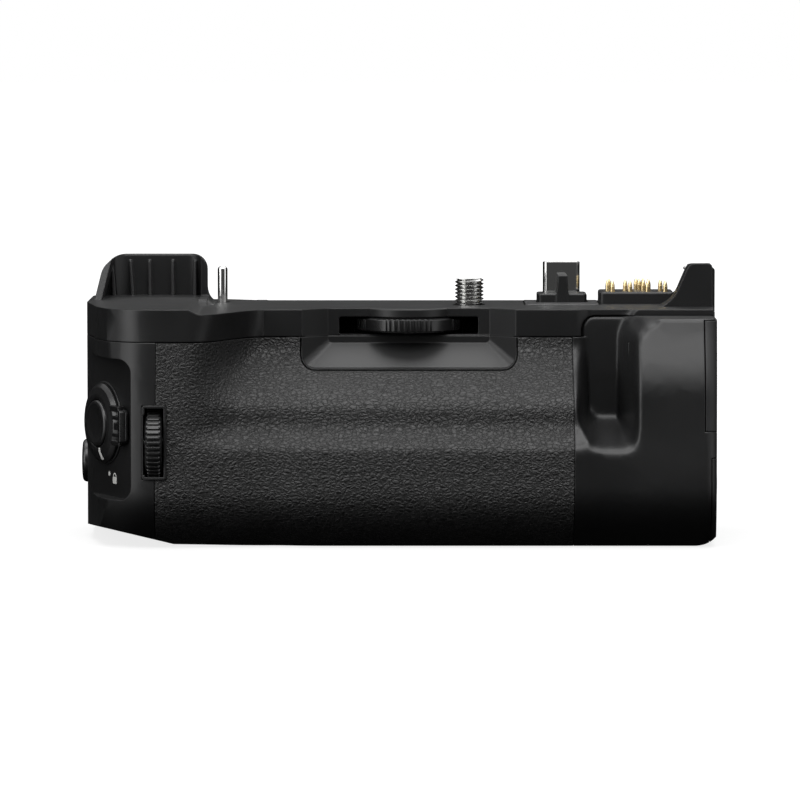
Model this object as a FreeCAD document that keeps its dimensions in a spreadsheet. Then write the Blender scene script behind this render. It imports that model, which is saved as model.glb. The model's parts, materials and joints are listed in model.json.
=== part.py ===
import FreeCAD, Part
import math
import os
from types import SimpleNamespace

import Sketcher
from FreeCAD import Placement, Rotation, Vector

# A battery and file transfer grip that screws under a camera.
# The origin is where the attachment screw's axis crosses the seat that the camera stands on.
# +X is to the right as seen from the lens side, +Y is to the back, +Z is up. Millimetres.

SIZES = [
    # Housing, outside
    ("right_end", 54.45, "right end of the housing"),
    ("left_end", 83.9, "left end of the housing"),
    ("housing_height", 50.6, "camera seat down to the feet"),
    ("seam_drop", 6.0, "seam of the top cover below the seat"),
    ("rim_rise", 1.1, "raised rim of the seat at the left end"),
    ("rim_end", 58.5, "where the raised rim stops"),
    ("band_front", 20.0, "front of the top band"),
    ("belly_front", 39.2, "front of the palm rest"),
    ("ledge_top", 8.0, "depth where the front starts to slope out"),
    ("slope_foot", 21.0, "depth where that slope ends"),
    ("slope_front", 34.6, "front at the foot of the slope"),
    ("step_top", 24.6, "depth where the small step to the palm rest starts"),
    ("ledge_foot", 28.8, "depth where the palm rest is reached"),
    ("under_start", 38.0, "depth where the front turns under"),
    ("under_pull", 9.5, "how far the front is pulled back at the feet"),
    ("grip_front", 40.0, "front of the left hand grip"),
    ("grip_end", 57.5, "where the hand grip starts to fall back"),
    ("grip_fall", 12.5, "width of that fall"),
    ("grip_lean", 0.2, "how much the fall moves left per depth"),
    ("channel_place", 43.0, "middle of the shallow finger channel"),
    ("channel_width", 5.0, "width of the finger channel"),
    ("channel_depth", 1.3, "depth of the finger channel"),
    ("leather_right", 22.3, "right edge of the leather"),
    ("pocket_left", 23.8, "left side of the finger pocket"),
    ("pocket_wall", 1.2, "width of the pocket's left wall"),
    ("pocket_front", 18.6, "floor of the finger pocket"),
    ("pocket_foot", 24.4, "depth where the pocket's ledge starts"),
    ("pocket_round", 5.5, "round of the pocket's lower left corner"),
    ("bulge_start", 32.4, "where the right bulge starts"),
    ("bulge_rise", 3.4, "width of its left wall"),
    ("bulge_round", 5.0, "round of the bulge's upper left corner"),
    ("brow_round", 1.1, "round of the bulge's top edge"),
    ("lip_thick", 4.0, "wall of the front cover above the seam"),
    ("lip_round", 3.0, "round of the pocket's upper left corner"),
    ("bulge_top", 1.3, "top of the right bulge below the seat"),
    ("bulge_brow", 32.0, "front of the bulge at its top"),
    ("bulge_knee", 18.0, "depth where the bulge meets the palm rest's front"),
    ("bulge_front", 38.2, "front of the bulge at that depth"),
    ("rear_face", 16.5, "back of the housing"),
    ("thumb_rear", 21.0, "back of the thumb rest"),
    ("thumb_end", 46.0, "right end of the thumb rest"),
    ("thumb_fall", 8.0, "width over which the thumb rest falls back"),
    ("corner_round", 6.0, "round of the lower right corner"),
    ("control_round", 9.0, "round of the left end's front corner"),
    ("control_in", 5.6, "where that round ends, inside the left end"),
    ("end_lean", 2.2, "how far the right end draws in towards the front"),
    ("end_round", 3.4, "round of the right end's front corner"),
    ("seat_inset", 0.6, "step of the top cover at the right end"),
    ("side_round", 3.0, "round of the housing's upright corners"),
    ("foot_rise", 2.9, "rise of the slanted facet at the left end"),
    ("foot_slope", 0.243, "slope of that facet to the left"),
    ("foot_slope_front", 0.114, "slope of that facet to the front"),
    ("belly_rise", 0.6, "rise of the underside under the hand grip"),
    ("split_rear", 4.0, "parting plane of front and rear covers, behind the screw"),
    # Leather
    ("leather_left", 67.6, "left edge of the leather"),
    ("skin", 0.8, "thickness of the leather"),
    ("rear_skin_right", 40.0, "right edge of the rear leather"),
    # Shutter facet
    ("facet_angle", 63.0, "turn of the shutter facet towards the left"),
    ("facet_place", 79.0, "centre of the shutter facet, to the left"),
    ("facet_depth", 25.7, "centre of the shutter facet, to the front"),
    ("button_drop", 24.2, "shutter axis below the seat"),
    ("facet_front", 14.4, "facet in front of the shutter axis"),
    ("facet_back", 12.0, "facet behind the shutter axis"),
    ("facet_high", 14.6, "facet above the shutter axis"),
    ("facet_low", 15.8, "facet below the shutter axis"),
    ("collar_radius", 8.6, "lock lever's collar"),
    ("collar_height", 1.8, "height of the collar"),
    ("collar_top", 6.3, "radius of the collar's top"),
    ("ring_radius", 9.0, "fixed ring under the collar"),
    ("ring_height", 0.4, "height of the fixed ring"),
    ("tab_reach", 12.6, "reach of the lock lever's tab"),
    ("tab_width", 8.6, "width of the tab"),
    ("shutter_radius", 5.05, "shutter button"),
    ("shutter_proud", 0.5, "button above the collar"),
    ("shutter_sink", 2.0, "depth of the button's well"),
    ("shutter_travel", 1.2, "travel of the button"),
    ("stem_radius", 1.5, "stem of the shutter button"),
    # Dials
    ("dial_radius", 8.0, "command dials"),
    ("dial_proud", 2.7, "dial in front of the grip"),
    ("dial_width", 3.6, "width of the dials"),
    ("dial_place", 68.1, "middle of the front dial, to the left"),
    ("dial_drop", 27.9, "dial axis below the seat"),
    ("dial_teeth", 38, "ribs on a dial"),
    ("dial_rib", 0.45, "height of a dial's ribs"),
    ("frame_left", 70.6, "left side of the frame round the front dial"),
    ("frame_right", 65.3, "its right side"),
    ("frame_top", 19.4, "its top below the seat"),
    ("frame_foot", 35.4, "its foot below the seat"),
    ("frame_wall", 0.6, "its thickness"),
    ("frame_proud", 0.35, "how far it stands out"),
    ("frame_deep", 4.0, "its depth in the housing"),
    ("rear_dial_proud", 2.4, "rear dial behind the thumb rest"),
    ("rear_dial_drop", 15.0, "rear dial's axis below the seat"),
    ("axle_radius", 1.0, "axles of the dials"),
    ("gap", 0.4, "gap round moving pieces"),
    ("running", 0.05, "running clearance, radial"),
    # Wheel, gears and screw
    ("wheel_across", 13.4, "wheel axis left of the screw"),
    ("wheel_front", 7.8, "wheel axis in front of the screw"),
    ("wheel_radius", 11.4, "tightening wheel"),
    ("wheel_thick", 3.2, "thickness of the wheel"),
    ("wheel_drop", 2.06, "top of the wheel below the seat"),
    ("wheel_rib", 0.35, "height of the wheel's ribs"),
    ("recess_back", 14.5, "back wall of the wheel recess"),
    ("recess_left", 31.0, "left end of that wall from the screw"),
    ("recess_right", 4.3, "its right end"),
    ("recess_flare", 5.6, "how far the recess opens at its ends"),
    ("recess_rim", 2.8, "round of the recess's lower corners"),
    ("recess_sill", 7.6, "foot of the back wall"),
    ("recess_lip", 12.6, "depth of the sloping sill at the front"),
    ("slot_left", 28.6, "left end of the slot from the screw"),
    ("slot_right", 1.8, "its right end"),
    ("slot_top", 1.85, "top of the slot"),
    ("slot_foot", 5.75, "foot of the slot"),
    ("gear_top", 12.6, "top of the gears below the seat"),
    ("gear_thick", 2.4, "thickness of the gears"),
    ("gear_module", 0.5, "module of the gears"),
    ("wheel_teeth", 38, "teeth under the wheel"),
    ("screw_teeth", 24, "teeth on the screw"),
    ("backlash", 0.1, "play between the teeth"),
    ("wheel_axle", 1.6, "radius of the wheel's axle"),
    ("screw_radius", 3.175, "attachment screw, a quarter inch"),
    ("screw_rise", 6.0, "screw above the seat"),
    ("screw_neck", 2.4, "neck of the screw"),
    ("thrust_radius", 4.6, "thrust washer"),
    ("thrust_thick", 1.2, "thickness of that washer"),
    ("bearing_drop", 17.8, "foot of the gear bearings"),
    # Seat
    ("guide_place", 54.8, "guide pin, to the left"),
    ("guide_rear", 9.6, "guide pin, to the back"),
    ("guide_radius", 1.1, "guide pin"),
    ("guide_rise", 8.0, "height of the guide pin"),
    ("guide_root", 4.4, "depth of the guide pin's seat"),
    ("guide_flange", 1.7, "radius of the guide pin's foot in the seat"),
    ("plug_place", 20.7, "middle of the plug"),
    ("plug_foot", 11.0, "width of the plug's base"),
    ("plug_base_front", 5.7, "front of the plug's base"),
    ("plug_base_rear", 15.2, "back of the plug's base"),
    ("plug_base_rise", 1.7, "height of the plug's base"),
    ("plug_width", 8.25, "plug shell, width"),
    ("plug_thick", 2.4, "plug shell, thickness"),
    ("plug_rear", 13.2, "middle of the plug shell, to the back"),
    ("plug_rise", 8.8, "top of the plug shell"),
    ("plug_wall", 0.35, "wall of the plug shell"),
    ("post_width", 2.1, "post that braces the plug"),
    ("post_rise", 5.85, "height of the post"),
    ("bezel_left", 8.4, "plate round the plug, left of its middle"),
    ("bezel_right", 8.0, "its right side"),
    ("bezel_front", 1.2, "front of that plate"),
    ("bezel_thick", 1.0, "thickness of that plate"),
    ("block_left", 28.9, "left end of the contact block"),
    ("block_right", 45.4, "its right end"),
    ("block_front", 2.0, "its front"),
    ("block_rear", 14.6, "its back"),
    ("block_rise", 2.6, "its height"),
    ("contact_radius", 0.52, "contact pins"),
    ("contact_rise", 5.1, "top of the contact pins"),
    ("contact_travel", 1.0, "travel of the contact pins"),
    ("contact_tail", 3.0, "foot of the contact pins below the seat"),
    # Tower and fin
    ("tower_rise", 10.3, "height of the tower"),
    ("tower_left", 83.4, "left side of the tower"),
    ("tower_right", 57.6, "right side of the tower"),
    ("tower_rear", 19.5, "back of the tower"),
    ("tower_front", 2.0, "front ends of the tower's walls, before the screw"),
    ("tower_wall", 1.1, "wall of the tower at its top"),
    ("tower_draft", 1.6, "how far the tower leans in"),
    ("tower_corner", 9.0, "round of the tower's corners"),
    ("rib_count", 5, "ribs in the tower"),
    ("rib_width", 0.8, "thickness of a rib"),
    ("rib_reach", 2.2, "how far a rib stands in"),
    ("fin_rise", 8.2, "height of the fin"),
    ("fin_width", 4.4, "width of the fin at its top"),
    ("fin_foot", 12.0, "width of the fin at its foot"),
    ("fin_front", 3.0, "front of the fin, before the screw"),
    ("fin_rear", 14.5, "back of the fin"),
    ("eyelet_radius", 1.65, "wire eyelet for a tether, at the fin"),
    ("eyelet_wire", 0.5, "wire of the eyelet"),
    ("eyelet_in", 4.9, "middle of the eyelet from the right end"),
    ("eyelet_rear", 11.0, "middle of the eyelet behind the screw"),
    ("eyelet_rise", 6.4, "height of the eyelet"),
    # Terminal cover and sockets
    ("door_left", 50.2, "left edge of the terminal cover"),
    ("door_top", 1.7, "top of the terminal cover below the seat"),
    ("door_foot", 29.6, "foot of the terminal cover at its hinge"),
    ("door_lift", 4.6, "how much higher its front end is"),
    ("door_skin", 2.3, "thickness of the terminal cover"),
    ("door_rear", 1.0, "hinge axis of the terminal cover, behind the screw"),
    ("knuckle", 2.0, "hinge knuckle of the terminal cover"),
    ("hinge_pin", 0.6, "hinge pins"),
    ("seam", 0.15, "gap at seams"),
    ("lan_front", 27.4, "front of the network socket"),
    ("lan_width", 16.0, "width of the network socket"),
    ("lan_length", 18.0, "length of the network socket"),
    ("lan_top", 6.6, "top of the network socket below the seat"),
    ("lan_height", 13.4, "height of the network socket"),
    ("lan_mouth_width", 11.9, "mouth of the network socket"),
    ("lan_mouth_height", 8.2, "height of that mouth"),
    ("lan_mouth_depth", 14.0, "depth of that mouth"),
    ("usb_front", 10.6, "front of the charging socket"),
    ("usb_width", 9.0, "width of the charging socket"),
    ("usb_height", 3.3, "height of the charging socket"),
    ("usb_length", 8.0, "length of the charging socket"),
    ("usb_top", 11.0, "top of the charging socket below the seat"),
    ("board_top", 23.0, "top of the circuit board below the seat"),
    ("board_thick", 1.6, "thickness of the circuit board"),
    # Battery tray
    ("chamber_top", 31.2, "top of the battery chamber below the seat"),
    ("chamber_foot", 46.8, "foot of the battery chamber"),
    ("chamber_front", 24.5, "front of the battery chamber"),
    ("chamber_rear", 14.0, "back of the battery chamber"),
    ("pack_length", 51.0, "length of a battery pack"),
    ("pack_height", 14.0, "height of a battery pack"),
    ("tray_floor", 0.8, "floor of the tray"),
    ("tray_wall", 1.0, "side walls of the tray"),
    ("tray_rail", 7.0, "height of the tray's sides"),
    ("cap_thick", 2.8, "thickness of the tray's end cap"),
    ("cap_top", 31.0, "top of the end cap below the seat"),
    ("cam_room", 3.4, "room for the latch cam behind the cap"),
    ("latch_radius", 6.2, "latch knob"),
    ("latch_sink", 1.6, "how deep the latch knob sits"),
    ("latch_shaft", 2.0, "shaft of the latch knob"),
    ("cam_thick", 1.6, "thickness of the latch cam"),
    ("cam_reach", 9.0, "reach of the latch cam"),
    ("cam_width", 4.4, "width of the latch cam"),
    ("slide_gap", 0.3, "gap round the tray"),
    # Underside
    ("bush_radius", 5.4, "tripod bush"),
    ("bush_depth", 3.6, "depth of the tripod thread"),
    ("plate_thick", 1.4, "thickness of the base plate"),
    ("plate_front", 26.0, "front of the base plate"),
    ("plate_rear", 12.5, "back of the base plate"),
    ("plate_left", 56.0, "left end of the base plate"),
    ("plate_right", 46.0, "right end of the base plate"),
    ("fixing_radius", 2.2, "heads of the housing screws"),
    # Buttons
    ("side_button_radius", 4.75, "side function button"),
    ("side_button_proud", 1.4, "side function button beyond the end"),
    ("side_button_drop", 34.3, "its axis below the seat"),
    ("side_button_front", 3.0, "its axis before the screw"),
    ("focus_radius", 4.6, "focus button"),
    ("focus_proud", 1.4, "focus button behind the housing"),
    ("focus_place", 57.0, "focus button, to the left"),
    ("focus_drop", 13.5, "focus button below the seat"),
    ("small_radius", 2.7, "small rear buttons"),
    ("small_proud", 0.9, "small buttons behind the housing"),
    ("small_place", 34.0, "first small button, to the left"),
    ("small_step", 9.0, "from one small button to the next"),
    ("small_drop", 14.0, "small buttons below the seat"),
    ("stick_place", 44.5, "focus stick, to the left"),
    ("stick_drop", 27.5, "focus stick below the seat"),
    ("stick_radius", 3.4, "head of the focus stick"),
    ("stick_proud", 2.6, "focus stick behind its ring"),
    ("pivot_sink", 4.0, "pivot of the focus stick below the housing's back"),
    ("pivot_radius", 0.6, "pivot of the focus stick"),
    ("pivot_half", 4.2, "half the length of that pivot"),
    ("pivot_room", 2.4, "radius of the room round the pivot"),
    ("button_travel", 0.6, "travel of the buttons"),
    ("lamp_radius", 0.8, "status lamps"),
    ("lamp_depth", 1.6, "depth of the lamps in the housing"),
    ("lamp_up", 5.2, "lamps above the small buttons"),
]


class Length:
    """A size with its number and the same sum as a formula on the sheet."""

    def __init__(self, value, text):
        self.value = float(value)
        self.text = text

    def __float__(self):
        return self.value

    def __neg__(self):
        return Length(-self.value, f"(-{self.text})")

    def __add__(self, other):
        other = length(other)
        return Length(self.value + other.value, f"({self.text} + {other.text})")

    def __sub__(self, other):
        return self + (-length(other))

    def __mul__(self, other):
        other = length(other)
        return Length(self.value * other.value, f"({self.text} * {other.text})")

    def __truediv__(self, other):
        other = length(other)
        return Length(self.value / other.value, f"({self.text} / {other.text})")

    __radd__ = __add__
    __rmul__ = __mul__

    def __rsub__(self, other):
        return length(other) - self


def length(value):
    return value if isinstance(value, Length) else Length(value, repr(float(value)))


doc = FreeCAD.newDocument("transmitter_grip")
sheet = doc.addObject("Spreadsheet::Sheet", "Sizes")
for row, (alias, value, note) in enumerate(SIZES, 1):
    sheet.set(f"A{row}", note)
    sheet.set(f"B{row}", str(value))
    sheet.setAlias(f"B{row}", alias)
doc.recompute()
size = SimpleNamespace(
    **{alias: Length(sheet.get(alias), f"Sizes.{alias}") for alias, value, note in SIZES}
)
NODES = []


def node(piece, label):
    """Names a finished sub-part and lists it for export."""
    piece.Label = label
    NODES.append(piece)
    return piece


def bind(piece, **values):
    for name, value in values.items():
        value = length(value)
        setattr(piece, name, value.value)
        piece.setExpression(name, value.text)
    return piece


def put(piece, x=0, y=0, z=0, turn=None):
    piece.Placement = Placement(Vector(float(x), float(y), float(z)), turn or Rotation())
    for axis, value in (("x", x), ("y", y), ("z", z)):
        piece.setExpression(f"Placement.Base.{axis}", length(value).text)
    return piece


ALONG_X = Rotation(Vector(0, 1, 0), 90)
ALONG_Y = Rotation(Vector(1, 0, 0), -90)


def cylinder(radius, high, x=0, y=0, z=0, turn=None):
    piece = doc.addObject("Part::Cylinder", "Cylinder")
    bind(piece, Radius=radius, Height=high)
    return put(piece, x, y, z, turn)


def block(low, high):
    """A box from its low corner to its high corner."""
    piece = doc.addObject("Part::Box", "Box")
    bind(piece, Length=length(high[0]) - low[0], Width=length(high[1]) - low[1], Height=length(high[2]) - low[2])
    return put(piece, *low)


def fuse(*pieces):
    piece = doc.addObject("Part::MultiFuse", "Fuse")
    piece.Shapes = list(pieces)
    return piece


def cut(base, *tools):
    for tool in tools:
        piece = doc.addObject("Part::Cut", "Cut")
        piece.Base = base
        piece.Tool = tool
        base = piece
    return base


def solid(shape):
    """A piece whose shape comes from Part's own functions."""
    piece = doc.addObject("Part::Feature", "Form")
    piece.Shape = shape
    return piece


def sketch(body, points, plane):
    """A closed outline whose corners are bound to the sheet."""
    drawing = body.newObject("Sketcher::SketchObject", "Outline")
    base = [item for item in body.Origin.OriginFeatures if item.Role == plane][0]
    drawing.AttachmentSupport = [(base, "")]
    drawing.MapMode = "FlatFace"
    corners = [Vector(float(across), float(up), 0) for across, up in points]
    count = len(points)
    for index in range(count):
        drawing.addGeometry(Part.LineSegment(corners[index], corners[(index + 1) % count]))
    for index in range(count):
        drawing.addConstraint(Sketcher.Constraint("Coincident", index, 2, (index + 1) % count, 1))
    for index, (across, up) in enumerate(points):
        for kind, value in (("DistanceX", across), ("DistanceY", up)):
            value = length(value)
            mark = drawing.addConstraint(Sketcher.Constraint(kind, index, 1, value.value))
            drawing.setExpression(f"Constraints[{mark}]", value.text)
    return drawing


def padded(points, high, plane="XY_Plane"):
    """A body padded from an outline."""
    body = doc.addObject("PartDesign::Body", "Body")
    pad = body.newObject("PartDesign::Pad", "Pad")
    pad.Profile = sketch(body, points, plane)
    bind(pad, Length=high)
    return body


def turned(points, turn=None, x=0, y=0, z=0):
    """A body turned from (radius, height) corners round its own upright axis."""
    body = doc.addObject("PartDesign::Body", "Body")
    spin = body.newObject("PartDesign::Revolution", "Turn")
    drawing = sketch(body, points, "XZ_Plane")
    spin.Profile = drawing
    spin.ReferenceAxis = (drawing, ["V_Axis"])
    spin.Angle = 360.0
    return put(body, x, y, z, turn)


def rounded(points, radii):
    """A wire through flat points, each corner rounded by its radius."""
    edges = []
    count = len(points)
    starts = []
    ends = []
    middles = []
    for index in range(count):
        corner = points[index]
        before = (points[index - 1] - corner).normalize()
        after = (points[(index + 1) % count] - corner).normalize()
        half = before.getAngle(after) / 2
        radius = radii[index]
        step = radius / math.tan(half) if radius else 0
        starts.append(corner + before * step)
        ends.append(corner + after * step)
        inward = (before + after).normalize() if radius else Vector()
        middles.append(corner + inward * (radius / math.sin(half) - radius) if radius else corner)
    for index in range(count):
        if radii[index]:
            edges.append(Part.Arc(starts[index], middles[index], ends[index]).toShape())
        following = starts[(index + 1) % count]
        if (following - ends[index]).Length > 1e-6:
            edges.append(Part.LineSegment(ends[index], following).toShape())
    return Part.Wire(edges)


def prism(points, radii, along):
    return Part.Face(rounded(points, radii)).extrude(along)


def box_shape(low, high):
    low = Vector(*[float(value) for value in low])
    high = Vector(*[float(value) for value in high])
    return Part.makeBox(high.x - low.x, high.y - low.y, high.z - low.z, low)


def rod(radius, start, end):
    start = Vector(*[float(value) for value in start])
    end = Vector(*[float(value) for value in end])
    return Part.makeCylinder(float(radius), (end - start).Length, start, end - start)


def ease(share):
    """A smooth step from 0 to 1."""
    share = min(max(share, 0.0), 1.0)
    return share * share * (3 - 2 * share)


def mix(first, second, share):
    return first + (second - first) * share


# The front of the housing as a depth in front of the screw, for any place across and depth down


def palm_front(down):
    """Front of the middle: a band, a slope, a small step to the palm rest and the turn to the feet."""
    slope = ease((down - float(size.ledge_top)) / float(size.slope_foot - size.ledge_top))
    step = ease((down - float(size.step_top)) / float(size.ledge_foot - size.step_top))
    front = mix(float(size.band_front), float(size.slope_front), slope)
    return mix(front, float(size.belly_front), step) - turn_under(down)


def turn_under(down):
    share = (down - float(size.under_start)) / float(size.housing_height - size.under_start)
    return float(size.under_pull) * max(share, 0.0) ** 2


def grip_front(down):
    return float(size.grip_front) - turn_under(down)


def pocket_front(across, down):
    corner = float(size.pocket_round)
    inward = min(max(float(size.pocket_left) + corner - across, 0.0), corner)
    start = float(size.pocket_foot) - corner + math.sqrt(corner ** 2 - inward ** 2)
    ledge = ease((down - start) / float(size.ledge_foot - size.pocket_foot))
    return mix(float(size.pocket_front), float(size.belly_front), ledge) - turn_under(down)


def bulge_front(down):
    lean = ease((down + 3.0) / float(size.bulge_knee + 3.0))
    front = mix(float(size.bulge_brow), float(size.bulge_front), lean)
    drop = ease((down - float(size.bulge_knee)) / float(size.under_start - size.bulge_knee))
    return mix(front, float(size.belly_front), drop) - turn_under(down)


def end_fall(across):
    """How far the round of the right end's front corner falls back."""
    corner = float(size.end_round)
    past = across - (float(size.right_end) - 1.0 - corner)
    past = min(max(past, 0.0), corner * 0.97)
    return corner - math.sqrt(corner ** 2 - past ** 2)


def middle_front(across, down):
    """The front left of the finger pocket: hand grip, shallow channel and palm rest."""
    down = max(down, 0.0)
    corner = float(size.control_round)
    past = -across - float(size.left_end - size.control_in - size.control_round)
    past = min(max(past, 0.0), corner * 0.97)
    fall = corner - math.sqrt(corner ** 2 - past ** 2)
    fall_end = -float(size.grip_end) + float(size.grip_fall) - float(size.grip_lean) * down
    in_grip = ease((fall_end - across) / float(size.grip_fall))
    front = mix(palm_front(down), grip_front(down), in_grip)
    from_channel = (across + float(size.channel_place)) / float(size.channel_width)
    low = ease((down - float(size.ledge_top)) / float(size.ledge_foot - size.ledge_top))
    return front - float(size.channel_depth) * math.exp(-from_channel ** 2) * low - fall


def end_front(across, down):
    """The front of the finger pocket and the bulge."""
    down = max(down, 0.0)
    in_pocket = ease((across - float(size.pocket_left)) / float(size.pocket_wall))
    front = mix(palm_front(down), pocket_front(across, down), in_pocket)
    corner = float(size.bulge_round)
    up = min(max(float(size.bulge_top) + corner - down, 0.0), corner)
    start = float(size.bulge_start) + corner - math.sqrt(corner ** 2 - up ** 2)
    in_bulge = ease((across - start) / float(size.bulge_rise))
    return mix(front, bulge_front(down), in_bulge) - end_fall(across)


MIDDLE_STEP = 3.5
END_STEP = 1.0
DOWN_STEP = 2.0
OVERLAP = 2.0
BEYOND = 6.0
FAR = 90.0


def knots(count):
    """Even knots of a smooth curve with that many poles, held at both ends."""
    spans = count - 3
    return list(range(spans + 1)), [4] + [1] * (spans - 1) + [4]


def front_surface(formula, inset, start, end, step):
    """The front between two places across, as one smooth surface moved back by inset."""
    deep = float(size.housing_height) + 2 * BEYOND
    columns = round((end - start) / step)
    rows = round(deep / DOWN_STEP)
    grid = []
    for row in range(rows + 1):
        down = deep * row / rows - BEYOND
        places = [start + (end - start) * column / columns for column in range(columns + 1)]
        grid.append([Vector(across, inset - formula(across, down), -down) for across in places])
    down_knots, down_counts = knots(rows + 1)
    across_knots, across_counts = knots(columns + 1)
    surface = Part.BSplineSurface()
    surface.buildFromPolesMultsKnots(
        grid, down_counts, across_counts, down_knots, across_knots, False, False, 3, 3
    )
    return surface.toShape()


def middle_surface(inset=0.0):
    """The front from the left end to just past the leather's right edge."""
    end = float(size.leather_right) + OVERLAP
    return front_surface(middle_front, inset, -float(size.left_end) - BEYOND, end, MIDDLE_STEP)


def end_surface():
    start = float(size.leather_right)
    return front_surface(end_front, 0.0, start, float(size.right_end) + BEYOND, END_STEP)


def trim_front(form):
    """Takes away what lies in front of the housing's front."""
    forward = Vector(0, -FAR, 0)
    return form.cut(middle_surface().extrude(forward)).cut(end_surface().extrude(forward))


def plan_outline(inset, low, high):
    """The housing seen from above, open at the front, where the front surface trims it."""
    left = -float(size.left_end)
    right = float(size.right_end) - inset
    rear = float(size.rear_face)
    thumb = float(size.thumb_rear)
    thumb_end = -float(size.thumb_end)
    points = [
        Vector(left, -10, low),
        Vector(left, thumb, low),
        Vector(thumb_end - float(size.thumb_fall), thumb, low),
        Vector(thumb_end, rear, low),
        Vector(right, rear, low),
        Vector(right, 2, low),
        Vector(right - float(size.end_lean), -48, low),
        Vector(left + 9.6, -48, low),
        Vector(left + 7.0, -38.5, low),
        Vector(left + 3.2, -28, low),
    ]
    corner = float(size.side_round)
    radii = [0, 7.0, 9.0, 9.0, corner, 60.0, 0, 0, corner, 12.0]
    return prism(points, radii, Vector(0, 0, high - low))


def end_outline():
    """The housing seen from the front, with its round lower right corner."""
    left = -float(size.left_end) - 1
    foot = -float(size.housing_height)
    points = [
        Vector(left, -FAR, BEYOND * 3),
        Vector(left, -FAR, foot + float(size.belly_rise)),
        Vector(-67.7, -FAR, foot + float(size.belly_rise)),
        Vector(-45, -FAR, foot),
        Vector(float(size.right_end), -FAR, foot),
        Vector(float(size.right_end), -FAR, BEYOND * 3),
    ]
    radii = [0, 0, 30.0, 30.0, float(size.corner_round), 0]
    return prism(points, radii, Vector(0, 2 * FAR, 0))


def below_facet():
    """All that lies below the slanted facet under the control end."""

    def corner(x, y):
        rise = -float(size.housing_height) + float(size.foot_rise)
        fall = float(size.foot_slope) * (x + float(size.left_end)) + float(size.foot_slope_front) * (y + 10)
        return Vector(x, y, rise - fall)

    points = [corner(-2 * FAR, -FAR), corner(FAR, -FAR), corner(FAR, FAR), corner(-2 * FAR, FAR)]
    return prism(points, [0] * 4, Vector(0, 0, -FAR))


def facet_turn():
    """Turns +Z to the way that the shutter faces."""
    angle = math.radians(float(size.facet_angle))
    return Rotation(Vector(0, 0, 1), Vector(-math.sin(angle), -math.cos(angle), 0))


def facet_way():
    return facet_turn().multVec(Vector(0, 0, 1))


def facet_centre():
    return Vector(-float(size.facet_place), -float(size.facet_depth), -float(size.button_drop))


def facet_cut():
    """The flat recess that the shutter button stands in."""
    way = facet_way()
    side = Vector(0, 0, 1).cross(way)
    centre = facet_centre()
    high = float(size.facet_high)
    low = -float(size.facet_low)
    back = float(size.facet_back)
    front = float(size.facet_front)
    points = [
        centre + side * front + Vector(0, 0, low),
        centre - side * back + Vector(0, 0, low),
        centre - side * back + Vector(0, 0, high),
        centre + side * front + Vector(0, 0, high),
    ]
    return prism(points, [3.0, 0, 0, 3.0], way * 20)


def wheel_recess():
    """The recess in front of the wheel, with sloping ends and sill, and the wheel's slot."""
    front = -float(size.band_front) - 6.0
    flare = float(size.recess_flare) * (-front - float(size.recess_back)) / 5.5
    back = -float(size.recess_back)
    lip = float(size.recess_lip - size.recess_sill) * (-front - float(size.recess_back)) / 5.5
    left = -float(size.recess_left)
    right = float(size.recess_right)

    def outline(depth, grow, foot, radius):
        return rounded(
            [
                Vector(left - grow, depth, 3.0),
                Vector(left - grow, depth, -foot),
                Vector(right + grow, depth, -foot),
                Vector(right + grow, depth, 3.0),
            ],
            [0, radius, radius, 0],
        )

    sill = float(size.recess_sill)
    recess = Part.makeLoft([outline(back, 0, sill, 1.0), outline(front, flare, sill + lip, 2.5)], True, True)
    rim = Part.Face(outline(back + 1, float(size.recess_flare), float(size.recess_lip), float(size.recess_rim)))
    recess = recess.common(rim.extrude(Vector(0, -FAR, 0)))
    slot = prism(
        [
            Vector(-float(size.slot_left), back + 6, -float(size.slot_top)),
            Vector(-float(size.slot_left), back + 6, -float(size.slot_foot)),
            Vector(float(size.slot_right), back + 6, -float(size.slot_foot)),
            Vector(float(size.slot_right), back + 6, -float(size.slot_top)),
        ],
        [0.5] * 4,
        Vector(0, -12, 0),
    )
    return recess.fuse(slot)


def wheel_room():
    """Round room for the wheel, its axle and its gear."""
    x = -float(size.wheel_across)
    y = -float(size.wheel_front)
    gap = float(size.gap)
    top = -float(size.wheel_drop) + gap / 2
    wheel = rod(size.wheel_radius + size.gap, (x, y, top), (x, y, -size.wheel_drop - size.wheel_thick - size.gap))
    axle = rod(
        size.wheel_axle + size.running,
        (x, y, -size.wheel_drop + 1.0),
        (x, y, -size.bearing_drop),
    )
    return wheel.fuse(axle)


def gear_room():
    gear = float(size.gear_module * (size.wheel_teeth + 2) / 2) + float(size.gap)
    pinion = float(size.gear_module * (size.screw_teeth + 2) / 2) + float(size.gap)
    top = -size.gear_top + size.gap
    foot = -size.gear_top - size.gear_thick - size.gap
    x = -float(size.wheel_across)
    y = -float(size.wheel_front)
    return rod(gear, (x, y, top), (x, y, foot)).fuse(rod(pinion, (0, 0, top), (0, 0, foot)))


def screw_room():
    neck = rod(size.screw_radius + size.gap, (0, 0, 1), (0, 0, -2.4))
    shank = rod(size.screw_neck + size.running, (0, 0, 1), (0, 0, -size.bearing_drop))
    washer = rod(
        size.thrust_radius + size.running,
        (0, 0, -size.seam_drop),
        (0, 0, -size.seam_drop - size.thrust_thick),
    )
    return neck.fuse([shank, washer])


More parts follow.
